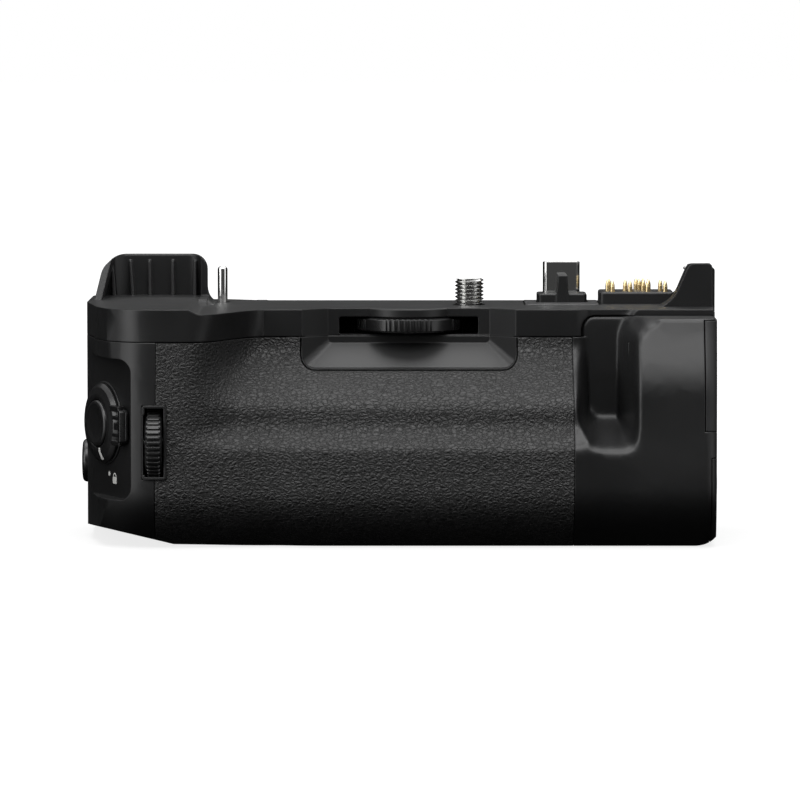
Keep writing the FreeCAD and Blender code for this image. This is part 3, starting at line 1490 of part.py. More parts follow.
def terminal_parts():
    """The terminal cover with its hinge pin, and the sockets behind it."""
    door = door_form(0.0).common(whole_form)
    door = door.cut(rod(size.hinge_pin + size.running, (hinge_x(), size.door_rear, -FAR), (hinge_x(), size.door_rear, 5)))
    node(solid(door.removeSplitter()), "terminal_cover")
    node(cylinder(size.hinge_pin, size.door_foot - size.door_top + 0.2, size.right_end - size.knuckle,
                  size.door_rear, -size.door_foot - 0.1), "cover_hinge_pin")

    socket = block(
        (size.right_end - size.door_skin - size.lan_length, -size.lan_front, -size.lan_top - size.lan_height),
        (size.right_end - size.door_skin - size.seam, -size.lan_front + size.lan_width, -size.lan_top),
    )
    middle = -size.lan_front + size.lan_width / 2
    low = -size.lan_top - size.lan_height + 1.6
    mouth = block(
        (size.right_end - size.door_skin - size.lan_mouth_depth, middle - size.lan_mouth_width / 2, low),
        (size.right_end, middle + size.lan_mouth_width / 2, low + size.lan_mouth_height),
    )
    notch = block(
        (size.right_end - size.door_skin - size.lan_mouth_depth, middle - 2.0, low + size.lan_mouth_height - 0.5),
        (size.right_end, middle + 2.0, low + size.lan_mouth_height + 1.6),
    )
    node(cut(socket, mouth, notch), "network_socket")

    middle = -size.usb_front + size.usb_width / 2
    outer = block(
        (size.right_end - size.door_skin - size.usb_length, -size.usb_front, -size.usb_top - size.usb_height),
        (size.right_end - size.door_skin - size.seam, -size.usb_front + size.usb_width, -size.usb_top),
    )
    inner = block(
        (size.right_end - size.door_skin - size.usb_length + 1.6, -size.usb_front + 0.35,
         -size.usb_top - size.usb_height + 0.35),
        (size.right_end, -size.usb_front + size.usb_width - 0.35, -size.usb_top - 0.35),
    )
    tongue = block(
        (size.right_end - size.door_skin - size.usb_length + 1.0, middle - 3.3, -size.usb_top - size.usb_height / 2 - 0.35),
        (size.right_end - size.door_skin - 1.2, middle + 3.3, -size.usb_top - size.usb_height / 2 + 0.35),
    )
    node(fuse(cut(outer, inner), tongue), "charging_socket")
    node(block((-60, -16, -size.board_top - size.board_thick), (31, 12, -size.board_top)), "circuit_board")


def tray_parts():
    """Tray, end cap, latch and two battery packs, which slide out together."""
    gap = size.slide_gap
    low = -size.chamber_foot + gap
    cap_in = size.right_end - size.cap_thick
    pack_right = cap_in - size.cam_room
    left = pack_right - size.pack_length * 2 - 3.6
    front = -size.chamber_front + gap
    rear = size.chamber_rear - gap
    outer = block((left, front, low), (cap_in, rear, low + size.tray_floor + size.tray_rail))
    inner = block(
        (left + 1.2, front + size.tray_wall, low + size.tray_floor),
        (cap_in - size.cam_room + 0.4, rear - size.tray_wall, 0),
    )
    cam_gap = block((cap_in - size.cam_room + 1.1, front + 6, low + size.tray_floor + 0.4), (cap_in + 1, rear - 6, 0))
    node(cut(outer, inner, cam_gap), "battery_tray")
    for index in range(2):
        start = left + 1.6 + (size.pack_length + 1.0) * index
        pack = block(
            (start, front + size.tray_wall + 0.1, low + size.tray_floor),
            (start + size.pack_length, rear - size.tray_wall - 0.1, low + size.tray_floor + size.pack_height),
        )
        node(round_edges(pack, 1.2, "x"), f"battery_{'left' if index == 0 else 'right'}")
    node(block(
        (chamber_left(), -8, -size.chamber_foot + 2.0),
        (left - 0.3, 2, -size.chamber_foot + 12.0),
    ), "battery_contacts")

    cap = cap_form(0.0).common(whole_form)
    axis = (size.chamber_rear - size.chamber_front) / 2
    drop = (size.chamber_top + size.chamber_foot) / 2
    sink = rod(size.latch_radius + 0.15, (size.right_end - size.latch_sink, axis, -drop), (FAR, axis, -drop))
    hole = rod(size.latch_shaft + size.running, (0, axis, -drop), (FAR, axis, -drop))
    node(solid(cap.cut(sink).cut(hole)), "tray_cap")
    knob = cylinder(size.latch_radius, size.latch_sink - 0.1, size.right_end - size.latch_sink, axis, -drop, ALONG_X)
    shaft = cylinder(size.latch_shaft, size.cap_thick - size.latch_sink + size.cam_thick + 0.3,
                     cap_in - size.cam_thick - 0.1, axis, -drop, ALONG_X)
    side = size.latch_radius * 2
    finger = []
    for way in (-1, 1):
        low_y = axis + way * 5.0 - 4.0
        finger.append(block((size.right_end - size.latch_sink + 0.6, low_y, -drop - side / 2),
                            (size.right_end + 1, low_y + 8.0, -drop + side / 2)))
    node(cut(fuse(knob, shaft), *finger), "latch_knob")
    cam = block(
        (cap_in - size.cam_thick - 0.1, axis - 2.4, -drop - size.cam_width / 2),
        (cap_in - 0.1, axis + size.cam_reach, -drop + size.cam_width / 2),
    )
    node(cut(cam, cylinder(size.latch_shaft, 20, cap_in - 10, axis, -drop, ALONG_X)), "latch_cam")


def round_edges(base, radius, axis):
    """A rounding of a box's long edges along one axis."""
    doc.recompute()
    piece = doc.addObject("Part::Fillet", "Round")
    piece.Base = base
    marks = []
    for index, edge in enumerate(base.Shape.Edges, 1):
        way = edge.Vertexes[1].Point - edge.Vertexes[0].Point
        if abs(getattr(way.normalize(), axis)) > 0.99:
            marks.append((index, radius, radius))
    piece.Edges = marks
    return piece


def underside_parts():
    """Base plate, tripod bush and housing screws."""
    foot = -size.housing_height
    plate = block(
        (-size.plate_left, -size.plate_front, foot),
        (size.plate_right, size.plate_rear, foot + size.plate_thick),
    )
    hole = cylinder(size.bush_radius, 9, 0, 0, foot - 2)
    holes = fuse(*[cylinder(size.fixing_radius, 9, x, y, foot - 2) for x, y in fixing_places()])
    node(cut(plate, hole, holes), "base_plate")
    fixings = []
    for x, y in fixing_places():
        fixings.append(cylinder(size.fixing_radius, size.plate_thick, x, y, foot))
    node(fuse(*fixings), "housing_screws")
    node(turned([
        (size.screw_radius, 0),
        (size.bush_radius, 0),
        (size.bush_radius, size.bush_depth),
        (size.screw_radius, size.bush_depth),
    ], z=foot), "tripod_bush")


def fixing_places():
    inset = 4.5
    return [
        (x, y)
        for x in (-size.plate_left + inset, size.plate_right - inset)
        for y in (-size.plate_front + inset, size.plate_rear - inset)
    ]


whole_form = outer_form()
housing_form = housing(whole_form)
node(solid(top_cover()), "top_cover")
covers(housing_form)
eyelet_part()
wheel_parts()
seat_parts()
shutter_parts()
dial_parts("front", dial_y(), size.dial_drop)
dial_parts("rear", rear_dial_y(), size.rear_dial_drop)
button_parts()
terminal_parts()
tray_parts()
underside_parts()
doc.recompute()

for item in doc.Objects:
    if "Invalid" in item.State or "Error" in item.State:
        raise RuntimeError(f"{item.Name} {item.Label} failed: {item.State}")
for piece in NODES:
    if piece.Shape.isNull() or not piece.Shape.isValid():
        raise RuntimeError(f"{piece.Label} has no valid shape")

os.makedirs("parts", exist_ok=True)
for piece in NODES:
    piece.Shape.exportStep(f"parts/{piece.Label}.step")
print(len(NODES), "pieces")
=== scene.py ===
import json
import math

import bmesh
import bpy
from mathutils import Matrix, Vector


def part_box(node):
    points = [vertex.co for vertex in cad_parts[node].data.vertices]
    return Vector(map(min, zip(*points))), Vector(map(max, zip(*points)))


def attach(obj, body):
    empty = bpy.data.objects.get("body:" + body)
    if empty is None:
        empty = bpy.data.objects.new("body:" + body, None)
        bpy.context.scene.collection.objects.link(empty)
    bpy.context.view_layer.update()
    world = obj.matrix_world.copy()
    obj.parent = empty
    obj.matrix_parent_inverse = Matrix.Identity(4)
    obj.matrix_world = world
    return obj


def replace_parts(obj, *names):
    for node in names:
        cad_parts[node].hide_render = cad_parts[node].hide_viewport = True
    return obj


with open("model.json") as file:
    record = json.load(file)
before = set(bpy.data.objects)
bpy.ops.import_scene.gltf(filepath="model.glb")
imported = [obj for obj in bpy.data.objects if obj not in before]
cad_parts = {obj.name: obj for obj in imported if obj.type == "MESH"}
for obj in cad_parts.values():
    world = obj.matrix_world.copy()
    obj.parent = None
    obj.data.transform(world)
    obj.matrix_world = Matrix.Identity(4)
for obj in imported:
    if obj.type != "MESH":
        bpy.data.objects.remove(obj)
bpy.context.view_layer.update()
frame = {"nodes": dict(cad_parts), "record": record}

MM = 0.001
TURN = 2 * math.pi
TOUCHING = MM / 1000
FLAT = math.radians(0.5)
NODES = frame["nodes"]
BODY_OF = {node: body for body, members in frame["record"]["behaviour"]["bodies"].items() for node in members}
SLOT_OF = {part["node"]: part["material_slot"] for part in frame["record"]["subparts"]}
RECORD_SLOTS = {row["slot"] for row in frame["record"]["materials"]}
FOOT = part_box("base_plate")[0][2]

# The photograph's camera: a long lens a little above the seat
LOOK_AT = Vector((-15.3, 0.0, -21.2)) * MM
CAMERA_DISTANCE = 1.2
CAMERA_ABOVE = math.radians(4.3)
CAMERA_LENS = 244.0
SENSOR = 36.0


# Working on a piece by hand: selecting, opening for edit and placing


def clear_selection():
    for item in bpy.context.selected_objects:
        item.select_set(False)


def work_on(piece):
    clear_selection()
    piece.select_set(True)
    bpy.context.view_layer.objects.active = piece


def open_edit(piece, kind="FACE"):
    work_on(piece)
    bpy.ops.object.mode_set(mode="EDIT")
    bpy.ops.mesh.select_mode(type=kind)


def open_whole(piece, kind="FACE"):
    """Opens a piece for edit with all of it selected."""
    open_edit(piece, kind)
    bpy.ops.mesh.select_all(action="SELECT")


def close_edit():
    bpy.ops.object.mode_set(mode="OBJECT")


def pick(piece, kind, test):
    """Selects, in edit mode, only the faces, edges or points whose middle, in mm, and normal pass the test."""
    bpy.ops.mesh.select_mode(type=kind)
    bpy.ops.mesh.select_all(action="DESELECT")
    form = bmesh.from_edit_mesh(piece.data)
    if kind == "FACE":
        chosen = [face for face in form.faces if test(face.calc_center_median() / MM, face.normal)]
    elif kind == "EDGE":
        chosen = [
            edge for edge in form.edges
            if test((edge.verts[0].co + edge.verts[1].co) / 2 / MM, (edge.verts[1].co - edge.verts[0].co).normalized())
        ]
    else:
        chosen = [point for point in form.verts if test(point.co / MM, point.normal)]
    for item in chosen:
        item.select_set(True)
    bmesh.update_edit_mesh(piece.data)


def settle(piece):
    """Puts the object's place, turn and scale into its mesh."""
    work_on(piece)
    bpy.ops.object.transform_apply(location=True, rotation=True, scale=True)


def move_to(piece, place):
    """Moves a piece made round the origin to a place in mm."""
    piece.location = Vector(place) * MM
    settle(piece)


def set_in_place(piece, across, up, out, place):
    """Moves a piece made round the upright axis, so that its x, y and z point across, up and out at a place in mm."""
    turn = Matrix((across, up, out)).transposed().to_4x4()
    piece.matrix_world = Matrix.Translation(Vector(place) * MM) @ turn
    settle(piece)


def apply_modifier(piece, kind, **settings):
    change = piece.modifiers.new(kind.lower(), kind)
    for name, value in settings.items():
        setattr(change, name, value)
    work_on(piece)
    bpy.ops.object.modifier_apply(modifier=change.name)


def soften(piece, width, segments=2, angle=32.0):
    """Rounds every edge that is sharper than the angle."""
    apply_modifier(
        piece, "BEVEL", width=width * MM, segments=segments, limit_method="ANGLE", angle_limit=math.radians(angle)
    )


def carve(piece, tool, way="DIFFERENCE"):
    """Cuts the tool's form out of the piece, or joins or intersects the two, and uses the tool up."""
    apply_modifier(piece, "BOOLEAN", operation=way, solver="EXACT", object=tool)
    bpy.data.objects.remove(tool)


def joined(piece, *others):
    """One piece with the others' meshes in it."""
    work_on(piece)
    for other in others:
        other.select_set(True)
    bpy.ops.object.join()
    return piece


def twin(piece, name, shift):
    """A copy with its own mesh, moved by a shift in mm."""
    work_on(piece)
    bpy.ops.object.duplicate()
    copy = bpy.context.object
    copy.name = name
    bpy.ops.transform.translate(value=Vector(shift) * MM)
    settle(copy)
    return copy


def one_at_each(piece, name, places):
    """Yields the piece, which stands at the first place, and a copy of it for each other (across, back) place."""
    for index, (x, y) in enumerate(places):
        shift = (x - places[0][0], y - places[0][1], 0)
        yield twin(piece, f"{name}_{index + 1}", shift) if index else piece


def line_of_points(name, corners):
    """A chain of edges through (radius, height) corners in mm, drawn by extruding one point."""
    clear_selection()
    bpy.ops.mesh.primitive_plane_add(size=MM, location=(0, 0, 0))
    piece = bpy.context.object
    piece.name = name
    open_whole(piece, "VERT")
    bpy.ops.mesh.merge(type="CENTER")
    here = Vector((0.0, 0.0, 0.0))
    for index, (radius, height) in enumerate(corners):
        there = Vector((radius, 0.0, height)) * MM
        if index:
            bpy.ops.mesh.extrude_region_move(TRANSFORM_OT_translate={"value": there - here})
        else:
            bpy.ops.transform.translate(value=there)
        here = there
    return piece


def lathe(name, corners, steps=64, angle=TURN):
    """A form turned round the upright axis from (radius, height) corners in mm."""
    piece = line_of_points(name, corners)
    bpy.ops.mesh.select_all(action="SELECT")
    bpy.ops.mesh.spin(steps=steps, angle=angle, center=(0, 0, 0), axis=(0, 0, 1))
    bpy.ops.mesh.select_all(action="SELECT")
    bpy.ops.mesh.remove_doubles(threshold=TOUCHING)
    bpy.ops.mesh.normals_make_consistent(inside=False)
    close_edit()
    return piece


def slab(name, corners, front, rear):
    """A plate with an outline of (across, height) corners in mm, as thick as from front to rear."""
    piece = line_of_points(name, corners)
    bpy.ops.mesh.select_all(action="SELECT")
    bpy.ops.mesh.edge_face_add()
    bpy.ops.transform.translate(value=(0, front * MM, 0))
    bpy.ops.mesh.extrude_region_move(TRANSFORM_OT_translate={"value": (0, (rear - front) * MM, 0)})
    bpy.ops.mesh.select_all(action="SELECT")
    bpy.ops.mesh.normals_make_consistent(inside=False)
    close_edit()
    return piece


def plan_slab(name, corners, low, high):
    """The same with an outline seen from above, as (across, back) corners."""
    piece = slab(name, corners, -high, -low)
    piece.rotation_euler = (-math.pi / 2, 0, 0)
    settle(piece)
    return piece


def arc(across, height, radius, start, end, steps=8):
    """Corners along an arc, with its angles in degrees."""
    angles = [math.radians(start + (end - start) * index / steps) for index in range(steps + 1)]
    return [(across + radius * math.cos(angle), height + radius * math.sin(angle)) for angle in angles]


def brick(name, low, high):
    """A block from corner to corner, in mm, to be shaped further."""
    low = Vector(low)
    high = Vector(high)
    clear_selection()
    bpy.ops.mesh.primitive_cube_add(size=MM, location=(low + high) / 2 * MM, scale=high - low)
    piece = bpy.context.object
    piece.name = name
    settle(piece)
    return piece


def cut_off(piece, place, way):
    """Cuts off and closes what lies past a plane through a place in mm, on the side that way points to."""
    open_whole(piece)
    bpy.ops.mesh.bisect(
        plane_co=Vector(place) * MM, plane_no=Vector(way).normalized(), use_fill=True, clear_outer=True
    )
    close_edit()


def merge_flat_faces(piece):
    open_whole(piece)
    bpy.ops.mesh.dissolve_limited(angle_limit=FLAT)
    close_edit()


def round_edges(piece, test, width, segments=3):
    """Bevels the edges that the test picks by their middle and direction."""
    open_edit(piece, "EDGE")
    pick(piece, "EDGE", test)
    bpy.ops.mesh.bevel(offset=width * MM, segments=segments, profile=0.5, affect="EDGES")
    close_edit()


def round_upright(piece, width, segments=3):
    """Bevels a block's upright edges."""
    round_edges(piece, lambda middle, way: abs(way.z) > 0.9, width, segments)


def round_top(piece, above, width, segments=3):
    """Bevels the edges whose middle lies above a height."""
    round_edges(piece, lambda middle, way: middle.z > above, width, segments)


def move_points(piece, test, way):
    """Moves the points that the test picks by a way in mm."""
    open_edit(piece, "VERT")
    pick(piece, "VERT", test)
    bpy.ops.transform.translate(value=Vector(way) * MM)
    close_edit()


def raise_faces(piece, test, height, narrow=(1.0, 1.0, 1.0), middle=(0.0, 0.0, 0.0)):
    """Extrudes the faces that the test picks along their normals, and narrows what was raised."""
    open_edit(piece)
    pick(piece, "FACE", test)
    bpy.ops.mesh.extrude_region_shrink_fatten(TRANSFORM_OT_shrink_fatten={"value": height * MM})
    bpy.ops.transform.resize(value=narrow, center_override=Vector(middle) * MM)
    close_edit()


def thread_rod(name, outer, root, pitch, low, high, steps=40):
    """A threaded rod on the upright axis, in mm, cut flat at both ends."""
    start = low - 2 * pitch
    piece = line_of_points(name, [
        (root, start),
        (outer, start + pitch * 0.4),
        (outer, start + pitch * 0.52),
        (root, start + pitch * 0.92),
        (root, start + pitch),
    ])
    close_edit()
    turns = math.ceil((high - low) / pitch) + 4
    apply_modifier(
        piece, "SCREW", axis="Z", angle=TURN, screw_offset=pitch * MM, iterations=turns, steps=steps, render_steps=steps
    )
    open_whole(piece)
    bpy.ops.mesh.remove_doubles(threshold=TOUCHING)
    for height, below in ((low, True), (high, False)):
        bpy.ops.mesh.select_all(action="SELECT")
        bpy.ops.mesh.bisect(
            plane_co=(0, 0, height * MM), plane_no=(0, 0, 1), use_fill=True, clear_inner=below, clear_outer=not below
        )
    bpy.ops.mesh.select_all(action="SELECT")
    bpy.ops.mesh.normals_make_consistent(inside=False)
    close_edit()
    return piece


def oval_tube(name, wide, thick, low, high, wall, floor):
    """An upright oval tube, in mm, closed by a floor at its foot."""
    clear_selection()
    bpy.ops.mesh.primitive_cylinder_add(
        vertices=48, radius=thick / 2 * MM, depth=(high - low) * MM, location=(0, 0, (low + high) / 2 * MM)
    )
    piece = bpy.context.object
    piece.name = name
    settle(piece)
    open_edit(piece, "VERT")
    for side in (-1, 1):
        pick(piece, "VERT", lambda point, normal: point.x * side > 0.01)
        bpy.ops.transform.translate(value=(side * (wide - thick) / 2 * MM, 0, 0))
    pick(piece, "FACE", lambda middle, normal: normal.z > 0.9)
    bpy.ops.mesh.inset(thickness=wall * MM)
    bpy.ops.mesh.extrude_region_move(TRANSFORM_OT_translate={"value": (0, 0, (low + floor - high) * MM)})
    close_edit()
    soften(piece, min(wall * 0.3, 0.12), 2, 50.0)
    return piece


def finish(piece, material, body, *nodes, angle=35.0):
    """Shades a finished piece, gives it its material, hangs it on its body and hides the CAD nodes it stands for."""
    piece.data.materials.clear()
    piece.data.materials.append(MATERIALS[material])
    work_on(piece)
    bpy.ops.object.shade_smooth_by_angle(angle=math.radians(angle))
    apply_modifier(piece, "WEIGHTED_NORMAL", keep_sharp=True)
    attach(piece, body)
    material if material in RECORD_SLOTS else SLOT_OF[nodes[0]] if nodes else "control_black"
    if nodes:
        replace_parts(piece, *nodes)
    return piece


def merged_copy(node):
    """A copy of a CAD node, with its doubled points merged."""
    piece = bpy.data.objects.new(f"{node}_skin", NODES[node].data.copy())
    bpy.context.scene.collection.objects.link(piece)
    work_on(piece)
    bpy.ops.mesh.customdata_custom_splitnormals_clear()
    open_whole(piece)
    bpy.ops.mesh.remove_doubles(threshold=TOUCHING)
    close_edit()
    return piece


def finished_copy(node, edge=0.0, change=None):
    """Stands for a CAD node: its copy, changed where a change is given, with its edges rounded by edge mm."""
    piece = merged_copy(node)
    if change:
        change(piece)
    if edge:
        merge_flat_faces(piece)
        soften(piece, edge)
    finish(piece, SLOT_OF[node], BODY_OF[node], node)


# Materials


def add(tree, kind, inputs=None, **settings):
    """A new shader node with its settings, and its inputs set to plain values or joined to sockets."""
    node = tree.nodes.new(kind)
    for name, value in settings.items():
        setattr(node, name, value)
    for name, value in (inputs or {}).items():
        if isinstance(value, bpy.types.NodeSocket):
            tree.links.new(value, node.inputs[name])
        else:
            node.inputs[name].default_value = value
    return node


def scaled(tree, value, low, high, to_low, to_high, smooth=False):
    """A value moved from one range to another and held inside it."""
    kind = "SMOOTHSTEP" if smooth else "LINEAR"
    node = add(
        tree, "ShaderNodeMapRange",
        {"Value": value, "From Min": low, "From Max": high, "To Min": to_low, "To Max": to_high},
        interpolation_type=kind,
    )
    return node.outputs["Result"]


def counted(tree, way, first, second=0.0):
    return add(tree, "ShaderNodeMath", {0: first, 1: second}, operation=way).outputs["Value"]


def tinted(tree, share, first, second):
    """A colour between two others."""
    node = add(tree, "ShaderNodeMix", {0: share}, data_type="RGBA")
    for index, value in ((6, first), (7, second)):
        if isinstance(value, bpy.types.NodeSocket):
            tree.links.new(value, node.inputs[index])
        else:
            node.inputs[index].default_value = (*value, 1)
    return node.outputs[2]


def object_place(tree, stretch=(1.0, 1.0, 1.0)):
    place = add(tree, "ShaderNodeTexCoord").outputs["Object"]
    return add(tree, "ShaderNodeMapping", {"Vector": place, "Scale": stretch}).outputs["Vector"]


def effect(name, inputs, outputs):
    """A shared effect: a node group with named number inputs and named outputs."""
    tree = bpy.data.node_groups.new(name, "ShaderNodeTree")
    for label, value in inputs:
        tree.interface.new_socket(name=label, in_out="INPUT", socket_type="NodeSocketFloat").default_value = value
    for label, kind in outputs:
        tree.interface.new_socket(name=label, in_out="OUTPUT", socket_type=f"NodeSocket{kind}")
    return tree, tree.nodes.new("NodeGroupInput").outputs, tree.nodes.new("NodeGroupOutput").inputs


def rounded_edges():
    """Rounds the look of edges, and gives a patchy edge mask for a tone painted on them: partly wear, partly a painted
    highlight.
    """
    tree, given, made = effect(
        "rounded edges", [("Radius mm", 0.25)], [("Wear and sheen", "Float"), ("Normal", "Vector")]
    )
    radius = counted(tree, "MULTIPLY", given["Radius mm"], MM)
    bevel = add(tree, "ShaderNodeBevel", {"Radius": radius}, samples=6).outputs["Normal"]
    flat = add(tree, "ShaderNodeNewGeometry").outputs["Normal"]
    facing = add(tree, "ShaderNodeVectorMath", {0: bevel, 1: flat}, operation="DOT_PRODUCT").outputs["Value"]
    turned = scaled(tree, facing, 0.99, 0.8, 0.0, 1.0)
    patches = add(tree, "ShaderNodeTexNoise", {"Vector": object_place(tree), "Scale": 240.0, "Detail": 3.0})
    wear_and_sheen = scaled(tree, patches.outputs["Fac"], 0.35, 0.6, 0.25, 1.0)
    tree.links.new(counted(tree, "MULTIPLY", turned, wear_and_sheen), made["Wear and sheen"])
    tree.links.new(bevel, made["Normal"])
    return tree


def moulded_grain():
    """The fine spark-eroded texture of moulded plastic, with a slow change of tone."""
    tree, given, made = effect("moulded grain", [("Size mm", 0.25)], [("Height", "Float"), ("Tone", "Float")])
    place = object_place(tree)
    fine = counted(tree, "DIVIDE", 1.0 / MM, given["Size mm"])
    pits = add(tree, "ShaderNodeTexVoronoi", {"Vector": place, "Scale": fine}, feature="SMOOTH_F1")
    speck = add(tree, "ShaderNodeTexNoise", {"Vector": place, "Scale": fine, "Detail": 2.0, "Roughness": 0.6})
    height = counted(tree, "ADD", pits.outputs["Distance"], counted(tree, "MULTIPLY", speck.outputs["Fac"], 0.7))
    slow = add(tree, "ShaderNodeTexNoise", {"Vector": place, "Scale": 45.0, "Detail": 4.0, "Roughness": 0.55})
    tree.links.new(height, made["Height"])
    tree.links.new(scaled(tree, slow.outputs["Fac"], 0.3, 0.7, 0.0, 1.0), made["Tone"])
    return tree


def leather_pebbles():
    """Pebbled leather: uneven soft pebbles, parted by deep creases, with smaller wrinkles on them."""
    tree, given, made = effect(
        "leather pebbles", [("Size mm", 1.1)], [("Height", "Float"), ("Crease", "Float"), ("Tone", "Float")]
    )
    place = object_place(tree, (0.72, 1.0, 1.0))
    size = counted(tree, "DIVIDE", 1.0 / MM, given["Size mm"])
    wander = add(
        tree, "ShaderNodeTexNoise",
        {"Vector": place, "Scale": counted(tree, "MULTIPLY", size, 0.6), "Detail": 3.0, "Roughness": 0.6},
    )
    centred = add(tree, "ShaderNodeVectorMath", {0: wander.outputs["Color"], 1: (0.5, 0.5, 0.5)}, operation="SUBTRACT")
    push = add(tree, "ShaderNodeVectorMath", {0: centred.outputs["Vector"], "Scale": 1.5 * MM}, operation="SCALE")
    moved = add(tree, "ShaderNodeVectorMath", {0: place, 1: push.outputs["Vector"]}, operation="ADD").outputs["Vector"]
    pebbles = add(tree, "ShaderNodeTexVoronoi", {"Vector": moved, "Scale": size}, feature="DISTANCE_TO_EDGE")
    small = add(
        tree, "ShaderNodeTexVoronoi", {"Vector": moved, "Scale": counted(tree, "MULTIPLY", size, 2.3)},
        feature="DISTANCE_TO_EDGE",
    )
    dome = scaled(tree, pebbles.outputs["Distance"], 0.0, 0.32, 0.0, 1.0, True)
    wrinkle = scaled(tree, small.outputs["Distance"], 0.0, 0.22, 0.0, 0.32, True)
    skin = add(
        tree, "ShaderNodeTexNoise", {"Vector": moved, "Scale": counted(tree, "MULTIPLY", size, 5.0), "Detail": 2.0}
    )
    fine = counted(tree, "MULTIPLY", skin.outputs["Fac"], 0.16)
    tree.links.new(counted(tree, "ADD", counted(tree, "ADD", dome, wrinkle), fine), made["Height"])
    tree.links.new(scaled(tree, pebbles.outputs["Distance"], 0.01, 0.12, 1.0, 0.0, True), made["Crease"])
    slow = add(tree, "ShaderNodeTexNoise", {"Vector": place, "Scale": 90.0, "Detail": 3.0})
    tree.links.new(scaled(tree, slow.outputs["Fac"], 0.3, 0.7, 0.0, 1.0), made["Tone"])
    return tree


def tool_marks():
    """The fine marks of turned and plated metal, and faint finger marks."""
    tree, given, made = effect("tool marks", [("Size mm", 0.12)], [("Height", "Float"), ("Smear", "Float")])
    scale = counted(tree, "DIVIDE", 1.0 / MM, given["Size mm"])
    lines = add(
        tree, "ShaderNodeTexNoise",
        {"Vector": object_place(tree, (0.08, 0.08, 1.0)), "Scale": scale, "Detail": 3.0, "Roughness": 0.7},
    )
    smear = add(tree, "ShaderNodeTexNoise", {"Vector": object_place(tree), "Scale": 420.0, "Detail": 4.0})
    tree.links.new(lines.outputs["Fac"], made["Height"])
    tree.links.new(scaled(tree, smear.outputs["Fac"], 0.35, 0.7, 0.0, 1.0), made["Smear"])
    return tree


def use(tree, group, **values):
    """A shared effect put to use, with its number inputs set by name."""
    node = tree.nodes.new("ShaderNodeGroup")
    node.node_tree = group
    for name, value in values.items():
        node.inputs[name.replace("_", " ")].default_value = value
    return node.outputs


def new_material(name, specular=0.5, metal=0.0, coat=0.0):
    material = bpy.data.materials.new(name)
    material.use_nodes = True
    shade = material.node_tree.nodes["Principled BSDF"]
    shade.inputs["Specular IOR Level"].default_value = specular
    shade.inputs["Metallic"].default_value = metal
    shade.inputs["Coat Weight"].default_value = coat
    return material, material.node_tree, shade


def bumped(tree, shade, height, strength, depth, normal):
    """Feeds a height in mm of depth to the shader, over an edge's own normal."""
    bump = add(
        tree, "ShaderNodeBump", {"Strength": strength, "Distance": depth * MM, "Height": height, "Normal": normal}
    )
    tree.links.new(bump.outputs["Normal"], shade.inputs["Normal"])


def moulded(name, dark, light, wear_and_sheen, rough, grain, depth, radius, specular=0.5):
    """Moulded plastic or rubber: two close tones, a grain, and edges painted in a third tone, partly as wear and partly
    as a painted highlight.
    """
    material, tree, shade = new_material(name, specular)
    edges = use(tree, EFFECTS["edges"], Radius_mm=radius)
    texture = use(tree, EFFECTS["grain"], Size_mm=grain)
    base = tinted(tree, texture["Tone"], dark, light)
    # Edges painted in the edge tone: partly wear, partly a painted highlight.
    tree.links.new(tinted(tree, edges["Wear and sheen"], base, wear_and_sheen), shade.inputs["Base Color"])
    even = scaled(tree, texture["Tone"], 0.0, 1.0, rough[0], rough[1])
    tree.links.new(
        counted(tree, "SUBTRACT", even, counted(tree, "MULTIPLY", edges["Wear and sheen"], 0.06)), shade.inputs["Roughness"]
    )
    bumped(tree, shade, texture["Height"], 0.5, depth, edges["Normal"])
    return material


def leather(name):
    """Black pebbled leather, duller in its creases, with painted shade darkening its creases."""
    material, tree, shade = new_material(name, 0.5)
    edges = use(tree, EFFECTS["edges"], Radius_mm=0.3)
    pebbles = use(tree, EFFECTS["pebbles"], Size_mm=0.85)
    base = tinted(tree, pebbles["Tone"], (0.006, 0.006, 0.0062), (0.0095, 0.0095, 0.0094))
    # Painted shade: the creases are painted near black.
    tree.links.new(tinted(tree, pebbles["Crease"], base, (0.0015, 0.0015, 0.0015)), shade.inputs["Base Color"])
    even = scaled(tree, pebbles["Tone"], 0.0, 1.0, 0.35, 0.43)
    duller = counted(tree, "MULTIPLY", pebbles["Crease"], 0.46)
    tree.links.new(counted(tree, "ADD", even, duller), shade.inputs["Roughness"])
    bumped(tree, shade, pebbles["Height"], 0.78, 0.15, edges["Normal"])
    return material


def metal(name, color, stain, rough, depth):
    """Bare or plated metal with fine marks; its edges are rounded in its form."""
    material, tree, shade = new_material(name, metal=1.0)
    marks = use(tree, EFFECTS["marks"])
    tree.links.new(tinted(tree, marks["Smear"], color, stain), shade.inputs["Base Color"])
    tree.links.new(scaled(tree, marks["Smear"], 0.0, 1.0, rough[0], rough[1]), shade.inputs["Roughness"])
    bump = add(tree, "ShaderNodeBump", {"Strength": 0.1, "Distance": depth * MM, "Height": marks["Height"]})
    tree.links.new(bump.outputs["Normal"], shade.inputs["Normal"])
    return material


def board(name):
    """Green solder resist over copper tracks."""
    material, tree, shade = new_material(name, coat=0.3)
    edges = use(tree, EFFECTS["edges"], Radius_mm=0.1)
    tracks = add(
        tree, "ShaderNodeTexBrick",
        {"Vector": object_place(tree), "Scale": 420.0, "Mortar Size": 0.035, "Brick Width": 1.7, "Row Height": 0.4,
         "Color1": (0.010, 0.075, 0.035, 1), "Color2": (0.012, 0.085, 0.038, 1), "Mortar": (0.03, 0.2, 0.08, 1)},
        offset=0.37, squash=1.6,
    )
    tree.links.new(tracks.outputs["Color"], shade.inputs["Base Color"])
    tree.links.new(scaled(tree, tracks.outputs["Fac"], 0.0, 1.0, 0.35, 0.28), shade.inputs["Roughness"])
    bumped(tree, shade, tracks.outputs["Fac"], 0.5, 0.03, edges["Normal"])
    return material


